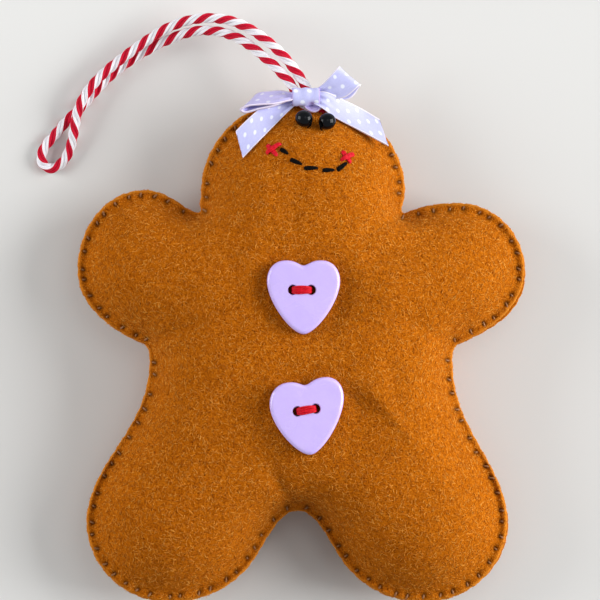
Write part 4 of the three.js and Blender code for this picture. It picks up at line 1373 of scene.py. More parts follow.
@dataclass(frozen=True)
class Fuzz:
    """Loose fibres that stand a little proud of the felt."""

    count: int
    seed: int
    length: tuple[float, float] = (0.7, 1.9)
    radius: float = 0.052
    lift: tuple[float, float] = (0.02, 0.15)
    rim: tuple[float, float] = (7.6, 11.6)
    rim_length: float = 0.4
    curl: tuple[float, float] = (0.5, 1.9)
    stations: tuple[float, ...] = (0.0, 0.36, 0.7, 1.0)
    heights: tuple[float, ...] = (-0.4, 0.75, 1.0, 0.7)
    taper: tuple[float, ...] = (1.0, 1.0, 0.8)
    tone: tuple[float, float] = (3.6, 1.8)

    def build(self, skin: Shape, faces: int, clear: Array) -> tuple[Shape, Array]:
        """Fibres scattered over a surface by area.

        A fibre is a three-sided thread along root + L (sin(k w) t + (1 - cos(k w)) b) / k + h n, an arc
        where t is a direction in the surface, b is square to it, n is the normal and h rises to the lift
        and comes part of the way down again. Fibres between the rim's heights are short.

        Args:
            skin: Surface that the fibres grow from.
            faces: How many of its first faces grow fibres.
            clear: Circles without fibres, one row of x, y and radius each.

        Returns:
            All fibres as one surface, and the tone of each of its points.
        """
        rng = np.random.default_rng(self.seed)
        corners = skin.points[skin.quads[:faces]]
        normal = np.cross(corners[:, 2] - corners[:, 0], corners[:, 3] - corners[:, 1])
        area = np.linalg.norm(normal, axis=1)
        share = (np.arange(self.count) + rng.random(self.count)) / self.count
        chosen = np.minimum(np.searchsorted(np.cumsum(area) / area.sum(), share), faces - 1)
        a, b = rng.random((2, self.count, 1))
        spots = corners[chosen]
        root = ((1 - a) * (1 - b) * spots[:, 0] + a * (1 - b) * spots[:, 1]
                + a * b * spots[:, 2] + (1 - a) * b * spots[:, 3])
        apart = np.linalg.norm(root[:, None, :2] - clear[:, :2], axis=2)
        free = (apart > clear[:, 2]).all(axis=1)
        root, n = root[free], unit(normal[chosen][free])
        count = len(root)
        t = unit(np.cross(n, rng.normal(size=(count, 3))))
        side = np.cross(n, t)
        size = rng.uniform(*self.length, (count, 1, 1))
        at_rim = (root[:, 2] > self.rim[0]) & (root[:, 2] < self.rim[1])
        size = np.where(at_rim[:, None, None], self.rim_length * size, size)
        curl = rng.uniform(*self.curl, (count, 1, 1)) * rng.choice([-1.0, 1.0], (count, 1, 1))
        lift = rng.uniform(*self.lift, (count, 1, 1))
        w = np.array(self.stations)[None, :, None]
        height = lift * np.array(self.heights)[None, :, None]
        arc = np.sin(curl * w) * t[:, None] + (1 - np.cos(curl * w)) * side[:, None]
        path = root[:, None] + size / curl * arc + height * n[:, None]
        turn = np.arange(3) * TAU / 3
        ring = np.cos(turn)[:, None] * side[:, None, None] + np.sin(turn)[:, None] * n[:, None, None]
        thick = self.radius * np.array(self.taper)[None, :, None, None]
        rings = path[:, :3, None] + thick * ring
        points = np.concatenate([rings.reshape(count, 9, 3), path[:, 3:]], axis=1)
        points[..., 2] = np.maximum(points[..., 2], 0.0)
        local, _ = lattice(3, 3)
        tips = np.array([(6, 7, 9), (7, 8, 9), (8, 6, 9), (0, 2, 1)])
        starts = 10 * np.arange(count)[:, None, None]
        cells = math.ceil(math.sqrt(count))
        cell = np.stack([np.arange(count) % cells, np.arange(count) // cells], axis=1) / cells
        spread = [(x, y) for y in (0.1, 0.4, 0.7) for x in (0.1, 0.5, 0.9)] + [(0.5, 0.95)]
        uv = cell[:, None] + np.array(spread) / cells
        tone = np.repeat(rng.beta(*self.tone, count), 10)
        quads, tris = (starts + local).reshape(-1, 4), (starts + tips).reshape(-1, 3)
        shape = Shape(points.reshape(-1, 3), quads, uv[:, local].reshape(-1, 4, 2),
                      tris, uv[:, tips].reshape(-1, 3, 2))
        return shape, tone


# Buttons


def packed_joint(name: str) -> dict:
    """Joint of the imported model."""
    return next(joint for joint in frame["joints"] if joint["name"] == name)


@dataclass
class HeartButton:
    """Upper or lower heart-shaped button with two holes, and the floss that holds it."""

    place: str
    turn: float
    width: float = 17.4
    height: float = 17.6
    edge: float = 0.9
    under_edge: float = 0.5
    notch: float = 1.2
    dome: float = 0.12
    hole_pitch: float = 4.4
    hole_radius: float = 1.1
    hole_flare: float = 0.28
    flare_reach: float = 0.22
    hole_rise: float = 1.75
    shift: float = 0.0
    skew: float = 0.0
    strands: int = 5
    strand_radius: float = 0.24
    bar_width: float = 1.5

    def __post_init__(self) -> None:
        """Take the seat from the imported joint, and the button's height from its node."""
        self.name, self.node = f"{self.place}_button", f"{self.place}_heart_button"
        self.seat = np.array(packed_joint(f"{self.name}_turn")["pos_m"]) / MM
        low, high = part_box(self.node)
        self.under, self.top = low.z / MM, high.z / MM

    def turned(self, points: Array) -> Array:
        """Points of the button's own frame, turned as the button is."""
        c, s = math.cos(self.turn), math.sin(self.turn)
        return points @ np.array([[c, s, 0.0], [-s, c, 0.0], [0.0, 0.0, 1.0]])

    def placed(self, points: Array) -> Array:
        """Points of the button's own frame, turned and moved to its seat; heights are kept."""
        return self.turned(points) + (self.seat[0], self.seat[1], 0.0)

    def outline(self) -> Array:
        """Heart: two lobes, a shallow notch above and a rounded point below."""
        half, top = self.width / 2, self.height / 2
        dip, lobe, side = top - self.notch, 0.48 * half, 0.44 * top
        right = np.array([
            ((0, -top), (0.34 * half, -top), (half, -0.12 * top), (half, side)),
            ((half, side), (half, 0.76 * top), (0.8 * half, top), (lobe, top)),
            ((lobe, top), (0.2 * half, top), (0.12 * half, dip), (0, dip)),
        ])
        left = right[::-1, ::-1] * (-1, 1)
        whole = bezier(np.concatenate([right, left]), 80) @ np.array([[1.0, 0.0], [self.skew, 1.0]])
        return evenly(whole, 240, closed=True) + (self.shift, -self.hole_rise)

    def blank(self) -> Shape:
        """Button before its holes: rings of the outline, drawn in along the rounded edges.

        A ring is the outline moved inwards by r(1 - cos) at height r sin on each rounded edge, and the
        outline shrunk to its middle on the domed face and the flat underside.
        """
        line = self.outline()
        inward = inward_normals(line)
        middle = np.array([self.shift, -self.hole_rise + 0.6])
        shrink = np.array([0.12, 0.3, 0.48, 0.66, 0.82, 0.93])
        turns = np.linspace(0, math.pi / 2, 9)
        lower = line + self.under_edge * inward
        rows = [(middle + k * (lower - middle), self.under) for k in shrink[::2]]
        rows += [(line + self.under_edge * (1 - math.sin(a)) * inward,
                  self.under + self.under_edge * (1 - math.cos(a))) for a in turns[::2]]
        rows += [(line + self.edge * (1 - math.cos(a)) * inward,
                  self.top - self.dome - self.edge * (1 - math.sin(a))) for a in turns]
        upper = line + self.edge * inward
        rows += [(middle + k * (upper - middle), self.top - self.dome * k * k) for k in shrink[::-1]]
        rings = np.stack([np.column_stack([xy, np.full(len(xy), z)]) for xy, z in rows])
        return rings_shape(self.placed(rings))

    def drills(self) -> Shape:
        """Two flared pins that cut the holes: a radius that opens towards both faces."""
        z = np.concatenate([[self.under - 1], np.linspace(self.under, self.top, 17), [self.top + 1]])
        near = np.minimum(np.abs(z - self.under + 0.1), np.abs(self.top - self.dome - z))
        near[[0, -1]] = 0
        radius = self.hole_radius + self.hole_flare * bell(near, self.flare_reach)
        xy = radius[:, None, None] * circle(1.0, 28)
        rings = raised(xy, np.broadcast_to(z[:, None], xy.shape[:2]))
        reach = self.hole_pitch / 2
        return Shape.joined([rings_shape(self.placed(rings + (x, 0, 0))) for x in (-reach, reach)])

    def floss(self, felt: float) -> Shape:
        """Strands side by side: up through one hole, over the bar between the holes and down the other."""
        reach = self.hole_pitch / 2
        top = self.top - self.dome
        half = np.array([
            (reach, felt - 1.4), (reach + 0.05, top - 1.1), (0.86 * reach, top - 0.05),
            (0.5 * reach, top + 0.26),
        ])
        line = spline(np.vstack([half * (-1, 1), [(0, top + 0.34)], half[::-1]]), 6)
        across = self.turned(np.array([0.0, 1.0, 0.0]))
        shapes = []
        for k, offset in enumerate(np.linspace(-0.5, 0.5, self.strands)):
            sway = 0.06 * np.sin(line[:, 0] * 1.3 + 2.0 * k)
            squeeze = 1 - 0.18 * np.abs(line[:, 0] / reach) ** 4
            crown = 0.12 * (1 - (2 * offset) ** 2) * (k % 2 + 0.4)
            aside = offset * self.bar_width * squeeze + sway
            path = self.placed(np.column_stack([line[:, 0], aside, line[:, 1] + crown]))
            shapes.append(sweep(path, circle(self.strand_radius, 8), across))
        return Shape.joined(shapes)

    def dress(self, resin: bpy.types.Material, thread: bpy.types.Material, felt: float) -> None:
        """Build the button and its floss, which is placed turned as the button is, above the felt."""
        button = mesh_piece(self.name, self.blank(), resin)
        cutter = mesh_piece(self.name + "_drill", self.drills(), resin)
        cut_out(button, cutter)
        settle(button, Body(self.name), "button", self.node)
        floss = mesh_piece(self.name + "_floss", self.floss(felt), thread)
        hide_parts(self.name + "_thread")
        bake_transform(floss)


def cut_out(piece: bpy.types.Object, cutter: bpy.types.Object) -> None:
    """Take a cutter's volume out of a piece, delete the cutter and keep edges sharp past 40 degrees."""
    tool = piece.modifiers.new("cut_out", "BOOLEAN")
    tool.object, tool.operation, tool.solver = cutter, "DIFFERENCE", "EXACT"
    mesh = bpy.data.meshes.new_from_object(piece.evaluated_get(bpy.context.evaluated_depsgraph_get()))
    piece.modifiers.clear()
    whole, piece.data = piece.data, mesh
    mesh.name = piece.name
    bpy.data.meshes.remove(whole)
    bpy.data.objects.remove(cutter)
    mesh.polygons.foreach_set("use_smooth", np.ones(len(mesh.polygons), bool))
    mesh.set_sharp_from_angle(angle=math.radians(40))


# Face


@dataclass
class BeadEye:
    """Left or right bead with a bore, and the thread that holds it on the felt."""

    side: str
    diameter: float = 4.0
    length: float = 3.9
    bore: float = 1.1
    thread_radius: float = 0.17

    def __post_init__(self) -> None:
        """Take the middle and the bore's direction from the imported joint."""
        joint = packed_joint(f"{self.side}_eye_spin")
        self.middle = np.array(joint["pos_m"]) / MM
        self.axis = unit(np.array(joint["axis"]))

    def shape(self) -> Shape:
        """Barrel turned about the bore: an arc for the outside, a straight wall inside and rounded rims."""
        round_to = math.acos(self.bore / self.diameter) - 0.16
        arc = np.linspace(-round_to, round_to, 29)
        outside = np.column_stack([self.length / 2 * np.sin(arc) / math.sin(round_to),
                                   self.diameter / 2 * np.cos(arc)])
        wall = self.length / 2 - 0.14
        inside = np.column_stack([np.linspace(wall, -wall, 5), np.full(5, self.bore / 2)])
        profile = np.vstack([outside, inside])
        e1 = unit(np.cross(self.axis, UP))
        e2 = np.cross(self.axis, e1)
        spokes = circle(1.0, 48) @ np.stack([e1, e2])
        rings = self.middle + profile[None, :, :1] * self.axis + profile[None, :, 1:] * spokes[:, None]
        return rings_shape(rings, closed=True).flipped()

    def floss(self, normal: Array) -> Shape:
        """Thread through the bore that bends down into the felt at both ends."""
        square = unit(normal - (normal @ self.axis) * self.axis)
        end = self.length / 2
        leg = np.array([
            (0.9, -3.2), (1.25, -2.15), (1.72, -1.5), (end + 0.12, -0.75), (end + 0.02, -0.08), (1.4, 0.0),
        ])
        line = spline(np.vstack([leg * (-1, 1), leg[::-1]]), 6)
        path = self.middle + line[:, :1] * self.axis + line[:, 1:] * square
        return sweep(path, circle(self.thread_radius, 8), np.cross(square, self.axis))

    def dress(self, glass: bpy.types.Material, thread: bpy.types.Material, felt: FeltBody) -> None:
        """Build the bead and its thread."""
        eye = f"{self.side}_eye"
        bead = mesh_piece(f"{self.side}_bead", self.shape(), glass)
        settle(bead, Body(eye), "bead", eye + "_bead")
        normal = felt.on_front(self.middle[None, :2])[1][0]
        floss = mesh_piece(bead.name + "_floss", self.floss(normal), thread)
        settle(floss, Body.FIGURE, "black_thread", eye + "_thread")


@dataclass
class Embroidery:
    """Smile of straight stitches and a cross stitch on each cheek."""

    felt: FeltBody
    smile: tuple[Stitch, ...] = (
        ((-5.0, 45.7), (-3.0, 44.4)), ((-2.7, 43.2), (0.3, 41.9)), ((0.6, 41.0), (4.2, 41.1)),
        ((5.0, 40.5), (8.1, 40.6)), ((8.5, 40.4), (11.1, 42.5)),
    )
    left_cheek: tuple[Stitch, ...] = (((-8.2, 46.9), (-5.6, 43.8)), ((-8.4, 44.5), (-4.6, 46.9)))
    right_cheek: tuple[Stitch, ...] = (((9.7, 45.4), (11.9, 42.1)), ((12.7, 44.3), (9.4, 43.0)))
    first_lift: float = 0.24
    cross_lift: float = 0.42
    sunk: float = 1.2

    def stitch(self, ends: Stitch, strands: int, radius: float, spread: float, lift: float) -> Shape:
        """Strands side by side from needle hole to needle hole.

        Along w from -1 to 1 a strand keeps to the straight line between the holes, its height is
        lift - (lift + sunk) w^8 over the felt, and the strands close up towards the holes.

        Args:
            ends: The two needle holes.
            strands: How many strands lie side by side.
            radius: Radius of a strand.
            spread: Distance between the outer strands' middles.
            lift: Height of the strands over the felt.

        Returns:
            All strands as one surface.
        """
        a, b = np.array(ends, float)
        w = np.sin(np.linspace(-math.pi / 2, math.pi / 2, 19))
        xy = a + (w[:, None] + 1) / 2 * (b - a)
        place, normal = self.felt.on_front(xy)
        ahead = unit(np.append(b - a, 0.0))
        side = unit(np.cross(normal, ahead))
        shapes = []
        for k, offset in enumerate(np.linspace(-0.5, 0.5, strands)):
            close = 1 - 0.75 * w**2
            twine = 0.35 * radius * np.sin(2.2 * w + 1.7 * k)
            crown = 0.4 * radius * (1 - (2 * offset) ** 2) * close
            height = lift - (lift + self.sunk) * w**8 + crown
            path = place + (offset * spread * close + twine)[:, None] * side + height[:, None] * normal
            shapes.append(sweep(path, circle(radius, 8), side))
        return Shape.joined(shapes)

    def dress(self, black: bpy.types.Material, red: bpy.types.Material) -> None:
        """Build the smile and both cheeks."""
        smile = Shape.joined([self.stitch(ends, strands=3, radius=0.24, spread=0.60, lift=0.26)
                              for ends in self.smile])
        settle(mesh_piece("smile_floss", smile, black), Body.FIGURE, "black_thread", "smile_thread")
        for side, cheek in (("left", self.left_cheek), ("right", self.right_cheek)):
            lifts = (self.first_lift, self.first_lift + self.cross_lift)
            cross = [self.stitch(ends, strands=4, radius=0.25, spread=0.84, lift=lift)
                     for ends, lift in zip(cheek, lifts)]
            piece = mesh_piece(f"{side}_cheek_floss", Shape.joined(cross), red)
            settle(piece, Body.FIGURE, "red_thread", f"{side}_cheek_thread")


# Hanger cord, with its route in metres as in the solid model
CORD_ROOTS = ((-0.00066, 0.0636, 0.01305), (-0.0030, 0.0621, 0.01305))
CORD_HEADING = (-0.535, 0.845, 0.0)
CORD_ROUTE = (
    (-0.0043, 0.0682, 0.0127), (-0.0081, 0.0717, 0.0118), (-0.0126, 0.0748, 0.0106),
    (-0.0176, 0.0768, 0.0093), (-0.0230, 0.0773, 0.0079), (-0.0284, 0.0764, 0.0066),
    (-0.0334, 0.0743, 0.0055), (-0.0384, 0.0711, 0.0046), (-0.0432, 0.0676, 0.0041),
    (-0.0474, 0.0642, 0.0039), (-0.0509, 0.0604, 0.0039), (-0.0534, 0.0560, 0.0039),
    (-0.0545, 0.0512, 0.0030), (-0.0553, 0.0470, 0.0019), (-0.0572, 0.0430, 0.00125),
    (-0.0602, 0.0411, 0.00125), (-0.0626, 0.0430, 0.00125), (-0.0619, 0.0462, 0.00125),
    (-0.0594, 0.0492, 0.00125), (-0.0564, 0.0527, 0.00125), (-0.0529, 0.0561, 0.00125),
    (-0.0494, 0.0601, 0.00125), (-0.0456, 0.0639, 0.0013), (-0.0406, 0.0676, 0.0017),
    (-0.0354, 0.0706, 0.0029), (-0.0302, 0.0729, 0.0046), (-0.0248, 0.0743, 0.0065),
    (-0.0194, 0.0740, 0.0083), (-0.0144, 0.0721, 0.0100), (-0.0102, 0.0690, 0.0115),
    (-0.0066, 0.0659, 0.0126),
)


@dataclass
class HangerCord:
    """Loop of twisted cord whose two ends go into the head and are held by a knot."""

    radius: float = 1.24
    plies: int = 4
    ply_pitch: float = 10.9
    ply_radius: float = 0.55
    inside: tuple[float, float] = (12.6, 10.9)
    straight: float = 4.0
    step: float = 0.34
    easing: int = 14
    bending: tuple[float, float] = (-1.5, 4.5)
    knot: Point = (4.8, 49.2, 10.4)
    knot_scale: float = 0.5
    knot_radius: float = 0.62
    finish: CordFinish = field(default_factory=CordFinish)

    def path(self) -> Array:
        """Middle of the cord at even steps, from its outer end round the loop to its inner end."""
        roots = np.array(CORD_ROOTS) / MM
        heading = unit(np.array(CORD_HEADING))
        inner = roots - np.array(self.inside)[:, None] * heading
        straight = roots - self.straight * heading
        route = np.vstack([inner[:1], straight[:1], roots[:1], np.array(CORD_ROUTE) / MM, roots[1:],
                           straight[1:], inner[1:]])
        line = spline(route, 24)
        line = evenly(line, round(lengths_along(line)[-1] / self.step))
        for _ in range(self.easing):
            line[1:-1] = (line[:-2] + 2 * line[1:-1] + line[2:]) / 4
        return line

    def section(self, stations: Array) -> Array:
        """Lobed section at each station, turned left-handed along the cord.

        In a ply's own quarter the radius is c cos(a) + sqrt(p^2 - c^2 sin(a)^2): the far side of a circle
        of radius p whose middle is c from the cord's middle.
        """
        steps = 12
        turn = np.arange(self.plies * steps) * TAU / (self.plies * steps)
        share = TAU / self.plies
        within = (turn + share / 2) % share - share / 2
        centre = self.radius - self.ply_radius
        far = centre * np.cos(within) + np.sqrt(self.ply_radius**2 - (centre * np.sin(within)) ** 2)
        angle = turn - share / 2 - TAU * stations[:, None] / self.ply_pitch
        return far[:, None] * np.stack([np.cos(angle), np.sin(angle)], axis=-1)

    def trefoil(self) -> Shape:
        """Trefoil knot on both ends: x = sin t + 2 sin 2t, y = cos t - 2 cos 2t, z = -1.3 sin 3t."""
        t = np.linspace(0, TAU, 90, endpoint=False)
        x, y = np.sin(t) + 2 * np.sin(2 * t), np.cos(t) - 2 * np.cos(2 * t)
        loop = self.knot + self.knot_scale * np.column_stack([x, y, -1.3 * np.sin(3 * t)])
        upright = unit(np.column_stack([x, y, np.zeros(len(t))])) + 0.3 * UP
        return sweep(loop, circle(self.knot_radius, 12), upright, closed=True, around=float(self.plies))

    def dress(self) -> None:
        line = self.path()
        section = self.section(lengths_along(line))
        material = self.finish.material()
        shape = sweep(line, section, UP, around=float(self.plies))
        cord = mesh_piece("hanger_cord", shape, material)
        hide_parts("hanger_loop", "hanger_ends")
        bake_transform(cord)
        knot = settle(mesh_piece("hanger_knot", self.trefoil(), material), Body.FIGURE, "cord")
        log.info("hanger_cord: %.1f mm long", lengths_along(line)[-1])


# Ribbon bow


@dataclass
class RibbonStrip:
    """Length of ribbon between two edge routes."""

    name: str
    edges: tuple[Array, Array]
    cup: float = 0.0
    pleats: tuple[float, float] = (0.0, 0.0)
    print_start: float = 0.0
    rows: int = 72
    columns: int = 19
    width: float = 6.2
    thickness: float = 0.3
    selvedge_swell: float = 0.7
    selvedge_width: float = 0.07
    pleat_waves: float = 1.25
    pleat_shift: float = 0.13
    # Share of painted fold shade over the whole strip.
    fold: float = 0.0

    def shape(self) -> Shape:
        """Ribbon surface on a grid of place along and place across.

        A point lies between the two edges at share c from -1 to 1, raised by cup (1 - c^2) and by pleats
        that are cosines across the ribbon and fade out of its ends, and half a thickness to each side,
        more at the corded selvedges.
        """
        lines = [evenly(spline(edge, 30), self.rows) for edge in self.edges]
        middle, half = (lines[0] + lines[1]) / 2, (lines[1] - lines[0]) / 2
        along = unit(np.gradient(middle, axis=0))
        out = unit(np.cross(along, half))
        c = np.linspace(-1, 1, self.columns)
        share = np.linspace(0, 1, self.rows)
        near_start, near_end = 1 - smooth_step(share, 0, 0.35), smooth_step(share, 0.65, 1)
        pleat = self.pleats[0] * near_start + self.pleats[1] * near_end
        wave = np.cos(self.pleat_waves * TAU * (c + self.pleat_shift))
        lift = self.cup * (1 - c**2) + pleat[:, None] * wave
        sheet = middle[:, None] + c[:, None] * half[:, None] + lift[..., None] * out[:, None]
        thick = self.thickness / 2 * (1 + self.selvedge_swell * bell(1 - np.abs(c), self.selvedge_width))
        shift = thick[:, None] * out[:, None]
        rings = np.concatenate([sheet + shift, (sheet - shift)[:, ::-1]], axis=1)
        across = np.concatenate([c, c[::-1], c[:1]]) * self.width / 2
        far = lengths_along(middle) + self.print_start
        return rings_shape(rings, across, far).flipped()


@dataclass
class Bow:
    """Ribbon bow tied over the cord: knot, strap behind the cord, two loops and two tails."""

    felt: FeltBody
    finish: RibbonFinish = field(default_factory=RibbonFinish)
    knot_middle: Point = (1.2, 58.2, 16.0)
    knot_size: Point = (6.6, 4.4, 2.7)
    dent_place: tuple[float, float] = (1.4, 2.65)
    dent_depth: float = 0.22
    print_scale: float = 0.84
    loop_slant: Point = (-1.0, -0.115, 0.06)
    loop_reaches: tuple[float, float] = (1.0, 0.74)
    strap_ends: tuple[float, float] = (-2.7, 4.4)
    strap_edges: tuple[float, float] = (59.0, 57.7)
    strap_clear: float = 1.65
    lift: float = 0.75
    tail_tilt: float = 0.5
    right_tail_tilt: float = 3.2
    right_tail_clear: float = 1.7

    def knot(self) -> tuple[Shape, Array]:
        """Ribbon wrapped round the knot: an ellipse carried across it, with soft pleats and drawn-in ends.

        Returns:
            The knot's surface, and each point's share of painted fold shade: at both ends and in a dent
            below the middle.
        """
        wide, deep, thick = self.knot_size
        x = np.concatenate([[-0.5, -0.5], np.linspace(-0.5, 0.5, 33), [0.5, 0.5]]) * wide
        turn = np.arange(72) * TAU / 72
        edge = np.abs(2 * x / wide)
        swell = 1.0 - 0.06 * edge**4
        swell[[0, -1]], swell[[1, -2]] = 0.35, 0.84
        x[[0, -1]] *= 0.8
        x[[1, -2]] *= 0.97
        pleat = 0.07 * np.cos(2.2 * x)[:, None] * np.cos(turn - 0.7) ** 2
        dent = bell(x - self.dent_place[0], 0.9)[:, None] * bell(turn - self.dent_place[1], 0.5)
        reach = swell[:, None] * (1 + pleat - self.dent_depth * dent)
        y, z = deep / 2 * reach * np.cos(turn), thick / 2 * reach * np.sin(turn)
        rings = np.stack([np.broadcast_to(x[:, None], reach.shape), y, z], axis=-1) + self.knot_middle
        girth = lengths_along(np.vstack([rings[len(x) // 2], rings[len(x) // 2][:1]]))
        shape = rings_shape(rings, girth, self.print_scale * x)
        shape.quad_uv, shape.tri_uv = shape.quad_uv[..., ::-1], shape.tri_uv[..., ::-1]
        # Painted shade at both ends of the knot and in the dent below its middle.
        fold = np.maximum(0.7 * dent, 0.8 * smooth_step(edge, 0.9, 0.99)[:, None])
        return shape, np.append(fold.ravel(), np.zeros(len(shape.points) - fold.size))

    def left_loop(self) -> RibbonStrip:
        """Loop that stands nearly on edge and opens at its tip."""
        lean, part = unit(np.array([0.0, -0.46, 0.88])), unit(np.array([0.0, 0.88, 0.46]))
        base = np.array(self.knot_middle) - (self.knot_size[0] / 2 - 0.7, 0.0, 0.0)
        route = np.array([
            (0, 0.1, 0.36), (2.2, 0.3, 0.62), (5, 0.45, 1), (8.5, 0.6, 1), (11.6, 0.55, 1),
            (13.1, -0.25, 1), (12.2, -1.05, 1), (9, -0.6, 1), (5.2, -0.25, 1), (2.2, -0.2, 0.55),
            (0, -0.2, 0.3),
        ])
        far, offset, share = route.T[:, :, None]
        half = RibbonStrip.width / 2
        edges = tuple(base + reach * far * self.loop_slant + offset * part + side * share * lean * half
                      for reach, side in zip(self.loop_reaches, (1, -1)))
        # The whole loop gets a little painted shade.
        return RibbonStrip("bow_left_loop", edges, 0.1, (0.22, 0.22), 1.2, fold=0.22)

    def right_loop(self) -> RibbonStrip:
        """Loop that rises from under the tail and doubles back at its upper right."""
        upper = np.array([
            (3.4, 59.9, 15.3), (5.2, 61.3, 16.3), (7.0, 63.3, 17.1), (8.8, 65.2, 17.0), (9.1, 65.4, 15.7),
            (7.2, 63.4, 15.1), (5.2, 60.9, 14.8), (3.4, 59.3, 14.7),
        ])
        lower = np.array([
            (3.4, 58.7, 15.0), (7.4, 57.9, 15.2), (10.6, 58.2, 16.0), (13.9, 60.8, 16.6),
            (14.2, 60.9, 15.4), (11.8, 57.9, 14.6), (7.4, 57.4, 14.5), (3.4, 58.1, 14.6),
        ])
        return RibbonStrip("bow_right_loop", (upper, lower), 0.15, (0.3, 0.2), 0.4)

    def left_tail(self) -> RibbonStrip:
        """Tail that lies on the felt and is cut at a slant."""
        inner = np.array([(-0.6, 57.0), (-3.2, 54.6), (-7.0, 50.7), (-10.8, 46.8), (-13.9, 43.5)])
        outer = np.array([(-0.6, 58.2), (-5.0, 57.4), (-8.9, 56.1), (-12.5, 53.1), (-15.6, 50.0)])
        rise = np.maximum(self.knot_middle[2] - 0.6, self.felt.front(inner) + self.lift)
        drop = np.array([0, 1, 1, 1, 1]) * self.tail_tilt
        edges = np.column_stack([inner, rise]), np.column_stack([outer, rise - drop])
        return RibbonStrip("bow_left_tail", edges, 0.12, (0.2, 0.0), 2.0)

    def right_tail(self) -> RibbonStrip:
        """Tail that slopes down over the right of the head."""
        inner = np.array([(3.2, 56.6), (5.2, 55.4), (8.0, 53.3), (14.5, 49.9), (20.9, 46.5)])
        outer = np.array([(3.2, 59.5), (6.0, 59.4), (10.1, 57.5), (14.6, 55.3), (18.8, 52.8)])
        tilt = np.array([0, 0.1, 0.5, 1, 1]) * self.right_tail_tilt
        rise = np.maximum.reduce([
            np.array([0.5, 0.8, 0.2, -1.5, -2.0]) + self.knot_middle[2], self.felt.front(inner) + self.lift,
            self.felt.margin_top + self.right_tail_clear + tilt,
        ])
        edges = np.column_stack([outer, rise - tilt]), np.column_stack([inner, rise])
        return RibbonStrip("bow_right_tail", edges, 0.12, (0.2, 0.0), 0.8)

    def strap(self) -> RibbonStrip:
        """Ribbon that passes behind the cord from one end of the knot to the other."""
        (left, right), z, cord = self.strap_ends, self.knot_middle[2], CORD_ROOTS[0][2] / MM
        low = cord - self.strap_clear
        route = np.array([
            (-1.2, z), (left + 1.6, z - 0.1), (left, cord + 1.1), (left, cord - 0.4), (left + 1.1, low),
            (0, low), (right - 1.1, low), (right, cord - 0.4), (right, cord + 1.1), (3.0, z),
        ])
        edges = tuple(np.column_stack([route[:, 0], np.full(len(route), y), route[:, 1]])
                      for y in self.strap_edges)
        return RibbonStrip("bow_strap", edges, columns=9)

    def under_fold(self) -> RibbonStrip:
        """Slack edge of the wrapped ribbon that shows below the knot."""
        x = np.linspace(0.5, 5.4, 7)
        sag = 1 - ((x - 3.0) / 2.4) ** 2
        low = np.column_stack([x, 56.2 - 1.6 * sag, 16.0 + 0.5 * sag])
        high = np.column_stack([x, 57.2 - 0.9 * sag, 14.9 + 0.2 * sag])
        # The slack edge below the knot gets painted shade.
        return RibbonStrip("bow_under_fold", (low, high), columns=9, rows=40, print_start=1.0, fold=0.5)

    def dress(self) -> None:
        """Build all lengths of the bow."""
        satin = self.finish.material()
        shape, fold = self.knot()
        knot = mesh_piece("bow_knot", shape, satin)
        carry(knot, "fold", fold)
        settle(knot, Body.FIGURE, "ribbon", "ribbon_bow")
        strips = (self.left_loop(), self.right_loop(), self.left_tail(), self.right_tail(), self.strap(),
                  self.under_fold())
        for strip in strips:
            piece = mesh_piece(strip.name, strip.shape(), satin)
            carry(piece, "fold", np.full(len(piece.data.vertices), strip.fold))
            settle(piece, Body.FIGURE, "ribbon")


# Studio


@dataclass(frozen=True)
class Lamp:
    """Square lamp that faces the figure."""

    name: str
    power: float
    place: Point
    size: float

    def build(self) -> None:
        """Put the lamp in the scene."""
        light = bpy.data.lights.new(self.name, "AREA")
        light.energy, light.size = self.power, self.size
        lamp = put(self.name, light)
        lamp.location = self.place
        lamp.rotation_euler = (-lamp.location).to_track_quat("-Z", "Y").to_euler()


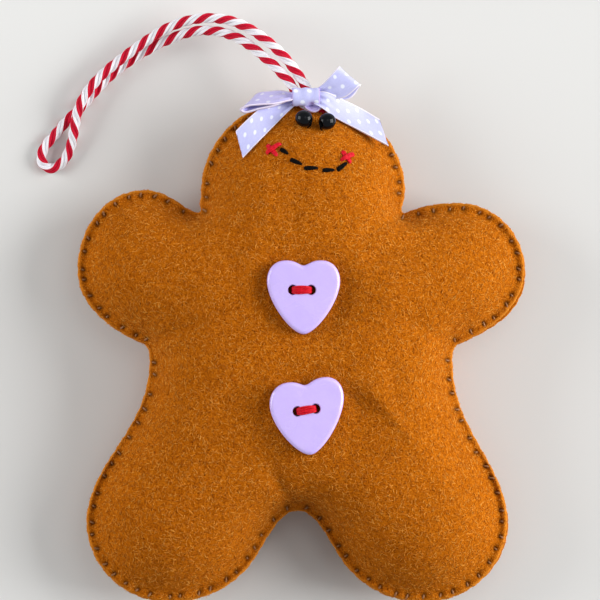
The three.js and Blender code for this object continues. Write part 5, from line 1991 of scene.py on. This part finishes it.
@dataclass
class Studio:
    """Camera straight above the figure, soft light from both sides, mostly the right, and a pale floor."""

    camera_height: float = 2.40
    middle: tuple[float, float] = (-0.00024, 0.0096)
    picture_width: float = 0.144
    seam_height: float = 0.0095
    sensor: float = 36.0
    floor: Colour = (0.71, 0.71, 0.697)
    floor_reach: float = 3.0
    lamps: tuple[Lamp, ...] = (
        Lamp("right_lamp", 40.0, (1.43, 0.20, 0.60), 1.12),
        Lamp("left_lamp", 3.5, (-0.64, 0.16, 0.28), 0.42),
        Lamp("top_lamp", 0.3, (0.18, 0.26, 0.64), 0.32),
    )
    sky: float = 0.33
    seen_sky: float = 0.62

    def camera(self) -> None:
        """Camera that sees the picture's width at the seam."""
        lens = bpy.data.cameras.new("camera")
        lens.sensor_width = self.sensor
        lens.lens = self.sensor * (self.camera_height - self.seam_height) / self.picture_width
        camera = put("camera", lens)
        camera.location = (*self.middle, self.camera_height)
        bpy.context.scene.camera = camera

    def world(self) -> None:
        """Even sky that looks pale to the camera and lights the figure gently."""
        world = bpy.data.worlds.new("studio")
        bpy.context.scene.world = world
        world.use_nodes = True
        g = Graph(world.node_tree)
        sky = world.node_tree.nodes["Background"]
        path = g.node("LightPath").outputs
        mirrored = g.math("MAXIMUM", path["Is Glossy Ray"], path["Is Transmission Ray"])
        seen = g.math("MAXIMUM", path["Is Camera Ray"], mirrored)
        sky.inputs["Color"].default_value = (1.0, 1.0, 1.0, 1.0)
        g.tree.links.new(g.span(seen, 0.0, 1.0, self.sky, self.seen_sky), sky.inputs["Strength"])

    def ground(self) -> None:
        """Pale paper floor with a faint tooth."""
        material, g, shader = new_material("pale_paper")
        place = g.place()
        tooth = g.noise(place, 700.0, 3.0)
        g.fill(shader, {
            "Base Color": g.mix(g.noise(place, 9.0), tuple(0.985 * c for c in self.floor), self.floor),
            "Roughness": 0.9, "Specular IOR Level": 0.1, "Normal": g.bump(tooth, 0.04, 0.1),
        })
        mesh = bpy.data.meshes.new("floor")
        far = self.floor_reach
        corners = [(-far, -far, 0), (far, -far, 0), (far, far, 0), (-far, far, 0)]
        mesh.from_pydata(corners, [], [(0, 1, 2, 3)])
        mesh.materials.append(material)
        put("floor", mesh)

    def build(self) -> None:
        """Set up the camera, the light, the floor and the view."""
        bpy.context.scene.view_settings.view_transform = "Standard"
        self.camera()
        for lamp in self.lamps:
            lamp.build()
        self.world()
        self.ground()


def main() -> None:
    """Build the studio and the ornament, piece by piece."""
    logging.basicConfig(level=logging.INFO, format="%(message)s")
    Studio().build()
    HangerCord().dress()
    felt = FeltBody()
    felt.cloth.settle(felt)
    felt.dress()
    black = FlossFinish("black_floss", (0.006, 0.005, 0.005), (0.002, 0.002, 0.002),
                        roughness=0.8, sheen=0.0, gloss=0.05).material()
    red = FlossFinish("red_floss", (0.740, 0.008, 0.026), (0.460, 0.003, 0.010),
                      sheen=0.0, gloss=0.15).material()
    resin = GlossFinish("lavender_resin", (0.605, 0.480, 0.925), (0.578, 0.455, 0.905),
                        roughness=0.22, coat=0.35, subsurface=0.12).material()
    glass = GlossFinish("black_glass", (0.001, 0.002, 0.003), (0.002, 0.003, 0.005),
                        roughness=0.04, coat=0.0, gloss=0.15).material()
    lower = HeartButton("lower", math.radians(8.5), width=17.8, height=17.8, shift=0.1, skew=0.07)
    for button in (HeartButton("upper", 0.0, shift=0.4), lower):
        button.dress(resin, red, float(felt.front(button.seat[None, :2])[0]))
    for side in ("left", "right"):
        BeadEye(side).dress(glass, black, felt)
    Embroidery(felt).dress(black, red)
    Bow(felt).dress()


if __name__ == "__main__":
    main()
